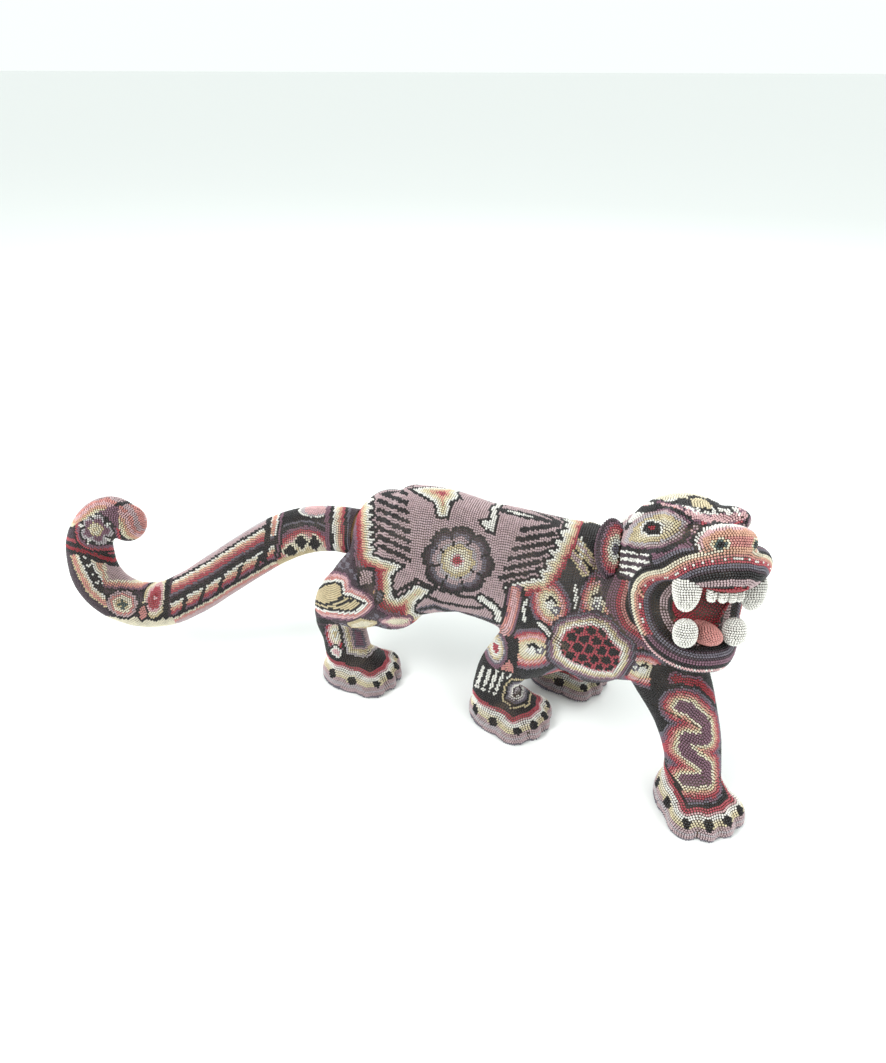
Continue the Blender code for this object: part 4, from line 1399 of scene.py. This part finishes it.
def petalFlowerSmall(p, centre, where):
    du, dv = p.u - centre[0], p.v - centre[1]
    reach = np.hypot(du, dv)
    angle = np.arctan2(dv, du)
    p.bands(reach, [(20.6, "black"), (18.8, "red"), (16.6, "purple"), (14.6, "black")], where)
    wave = np.abs(np.cos(angle * 2.5 + 0.4))
    p.put((reach < 9 + 4.5 * wave) & where, "grey")
    p.put((reach < 7 + 3.5 * wave) & where, "purple")
    p.bands(reach, [(6.2, "tan"), (4.4, "cream"), (2.4, "yellow")], where)
    for i in range(5):
        a = 2 * math.pi * i / 5 + 0.35
        p.stroke([(centre[0] + 11 * math.cos(a), centre[1] + 11 * math.sin(a)),
                  (centre[0] + 14.5 * math.cos(a), centre[1] + 14.5 * math.sin(a))], [(1.2, "white")], where)


legParts = {name: nearest == i for i, name in enumerate(paws)}
colours = paintFigure(spots, labels, reach, legParts)
tailColours = paintTail(tailSpots).colours()
print("patterns laid out")


def underPiece(points, pieces):
    # which points lie inside one of the small masses of the head
    local = headLocal(points)
    hidden = np.zeros(len(points), dtype=bool)
    for centre, radii, _, _ in pieces:
        hidden |= (((local - np.array(centre)) / np.array(radii)) ** 2).sum(axis=1) < 0.93
    return hidden


headTrim = {     # centre forward, left and up, half lengths, bluntness under 1, taper
    "ear": ((-31, 45, 10.5), (7.5, 12, 22), 1.0, 0.0),
    "upper_canine": ((40, 25, -5), (8.5, 9.4, 13.5), 0.85, 0.2),
    "lower_canine": ((34, 19, -34.5), (8, 8.4, 10), 0.9, 0.0),
}
incisorArc = {"count": 4, "spacing": 7.0, "front": 48.5, "bend": 0.02, "level": -4, "radii": (3.5, 3.3, 7)}
trim = {"tongue": ((25, 0, -37), (20, 10, 8), 1.0, 0.0)}
for name, ((forward, aside, up), *rest) in headTrim.items():
    trim[name + "_left"] = ((forward, aside, up), *rest)
    trim[name + "_right"] = ((forward, -aside, up), *rest)
for number in range(incisorArc["count"]):
    side = incisorArc["spacing"] * (number - (incisorArc["count"] - 1) / 2)
    forward = incisorArc["front"] - side * side * incisorArc["bend"]
    centre = (forward, side, incisorArc["level"])
    trim["incisor_%d" % (number + 1)] = (centre, incisorArc["radii"], 0.65, 0.0)

clear = ~underPiece(spots, trim.values())
spots, directions, labels, colours = (a[clear] for a in (spots, directions, labels, colours))

groups = {"torsoBeads": (labels == 3, "torso_beads"), "legBeads": (labels == 2, "leg_beads"),
          "headBeads": (labels <= 1, "head_beads")}
for name, (chosen, slotName) in groups.items():
    beadPieces(name, spots[chosen], directions[chosen], colours[chosen], "figure")
beadPieces("tailBeads", tailSpots, tailDirections, tailColours, "tail")

# the small masses of the head, each a lump of wax under its own beads
figureTree = BVHTree.FromPolygons(
    [v.co[:] for v in figureForm.data.vertices], [tuple(p.vertices) for p in figureForm.data.polygons])


def outOfFigure(points, least):
    found = np.zeros(len(points), dtype=bool)
    for i, point in enumerate(points):
        near, normal, _, _ = figureTree.find_nearest(Vector(point * mm))
        found[i] = (Vector(point * mm) - near).dot(normal) / mm > least
    return found


def earColours(local):
    # rings of a teardrop on the front of the ear, plain purple behind
    (_, aside, up), (_, wide, high), _, _ = trim["ear_left"]
    reach = np.hypot((np.abs(local[:, 1]) - aside + 1) / wide, (local[:, 2] - up) / high)
    names = np.select([reach < 0.22, reach < 0.36, reach < 0.50, reach < 0.66, reach < 0.80, reach < 0.92],
                      ["slate", "white", "cream", "coral", "red", "purple"], "dark")
    names = np.where(local[:, 0] < trim["ear_left"][0][0] - 1.5, "purple", names)
    return np.array([paint[name] for name in names])


for name, (centre, radii, blunt, taper) in trim.items():
    mass = ball(centre, radii, headFrame(), None, blunt, taper)
    mass.data.transform(Matrix.Translation(carverZero))
    ear, tongue = name.startswith("ear"), name == "tongue"
    tip = (radii[0], 0, 0) if ear else (0, 0, radii[2] if tongue or "lower" in name else -radii[2])
    tip = (headFrame() @ Vector([(c + t) * mm for c, t in zip(centre, tip)]) + carverZero) / mm
    mass = melt(mass, 1.0, 1)
    near, facing = simpleBeads(mass, tip, 0.6)
    seen = outOfFigure(near, 0.3)
    near, facing = near[seen], facing[seen]
    shades = np.tile(paint["coral" if tongue else "white"], (len(near), 1))
    if ear:
        shades = earColours(headLocal(near))
    lump = waxCoat(name + "_wax", mass, lambda points: points[:, 2] < -10)
    slotName = "ear_beads" if ear else "tongue_beads" if tongue else "tooth_beads"
    dress(lump, "figure", beeswax, [name])
    dress(setBeads(name + "_beads", near, facing, shades, tree, glassBeads), "figure")
print("head trim set")


def seatOpening(points):
    return (tailAxisReach(points) < seat["bare"]) & (points[:, 0] < shift[0] + seat["behind"])


def rootOpening(points):
    return points[:, 0] > shift[0] + tailStations[0][0] - 0.3


figureWax = melt(figureForm, form["waxGrid"], 1)
waxCoat("figureWax", figureWax, seatOpening)
replaced = ["torso_beadwork", "head_beadwork"] + [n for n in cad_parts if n.endswith("_leg_beadwork")]
dress(figureWax, "figure", beeswax, replaced)
tailWax = waxCoat("tailWax", melt(tailForm, form["waxGrid"], 1), rootOpening)
dress(tailWax, "tail", beeswax, ["tail_beadwork"])
drop(bead)

for name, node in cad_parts.items():
    if name.endswith(("_core", "_dowel", "_peg")):
        node.data.materials.clear()
        node.data.materials.append(carvedWood if name.endswith("_core") else dowelWood)

# floor, light and camera
floorMesh = bpy.data.meshes.new("floor")
floorMesh.from_pydata([(-40, -40, 0), (40, -40, 0), (40, 40, 0), (-40, 40, 0)], [], [(0, 1, 2, 3)])
floor = newObject("floor", floorMesh)
floorPaint, _, _, floorShader = plainNodes("paleFloor")
floorShader.inputs["Base Color"].default_value = (0.88, 0.90, 0.89, 1)
floorShader.inputs["Roughness"].default_value = 0.85
floorMesh.materials.append(floorPaint)

world = bpy.context.scene.world or bpy.data.worlds.new("studio")
bpy.context.scene.world = world
world.use_nodes = True
world.node_tree.nodes["Background"].inputs["Color"].default_value = (0.95, 1.0, 0.98, 1)
world.node_tree.nodes["Background"].inputs["Strength"].default_value = 1.02


def softLight(name, place, aim, size, power):
    lamp = bpy.data.lights.new(name, "AREA")
    lamp.size = size
    lamp.energy = power
    thing = bpy.data.objects.new(name, lamp)
    bpy.context.scene.collection.objects.link(thing)
    thing.location = place
    thing.rotation_euler = (Vector(aim) - Vector(place)).to_track_quat("-Z", "Y").to_euler()


lamps = {     # place, what it points at, size in metres, watts
    "keyLight": ((-0.9, -1.3, 1.7), (0, 0, 0.1), 0.9, 34),
    "fillLight": ((1.5, -1.1, 1.1), (0.1, 0, 0.12), 1.1, 14),
    "backLight": ((0.2, 1.5, 1.6), (0, 0, 0.1), 1.0, 12),
}
for name, (place, aim, size, power) in lamps.items():
    softLight(name, place, aim, size, power)

view = {"place": (0.2033, -0.5919, 0.500), "pitch": 62, "heading": 15, "lens": 30.1, "sensor": 36}
cameraData = bpy.data.cameras.new("camera")
cameraData.sensor_fit = "VERTICAL"
cameraData.sensor_height = view["sensor"]
cameraData.lens = view["lens"]
camera = bpy.data.objects.new("camera", cameraData)
bpy.context.scene.collection.objects.link(camera)
camera.location = view["place"]
camera.rotation_euler = (math.radians(view["pitch"]), 0, math.radians(view["heading"]))
bpy.context.scene.camera = camera
bpy.context.scene.view_settings.view_transform = "Standard"

print("scene ready")
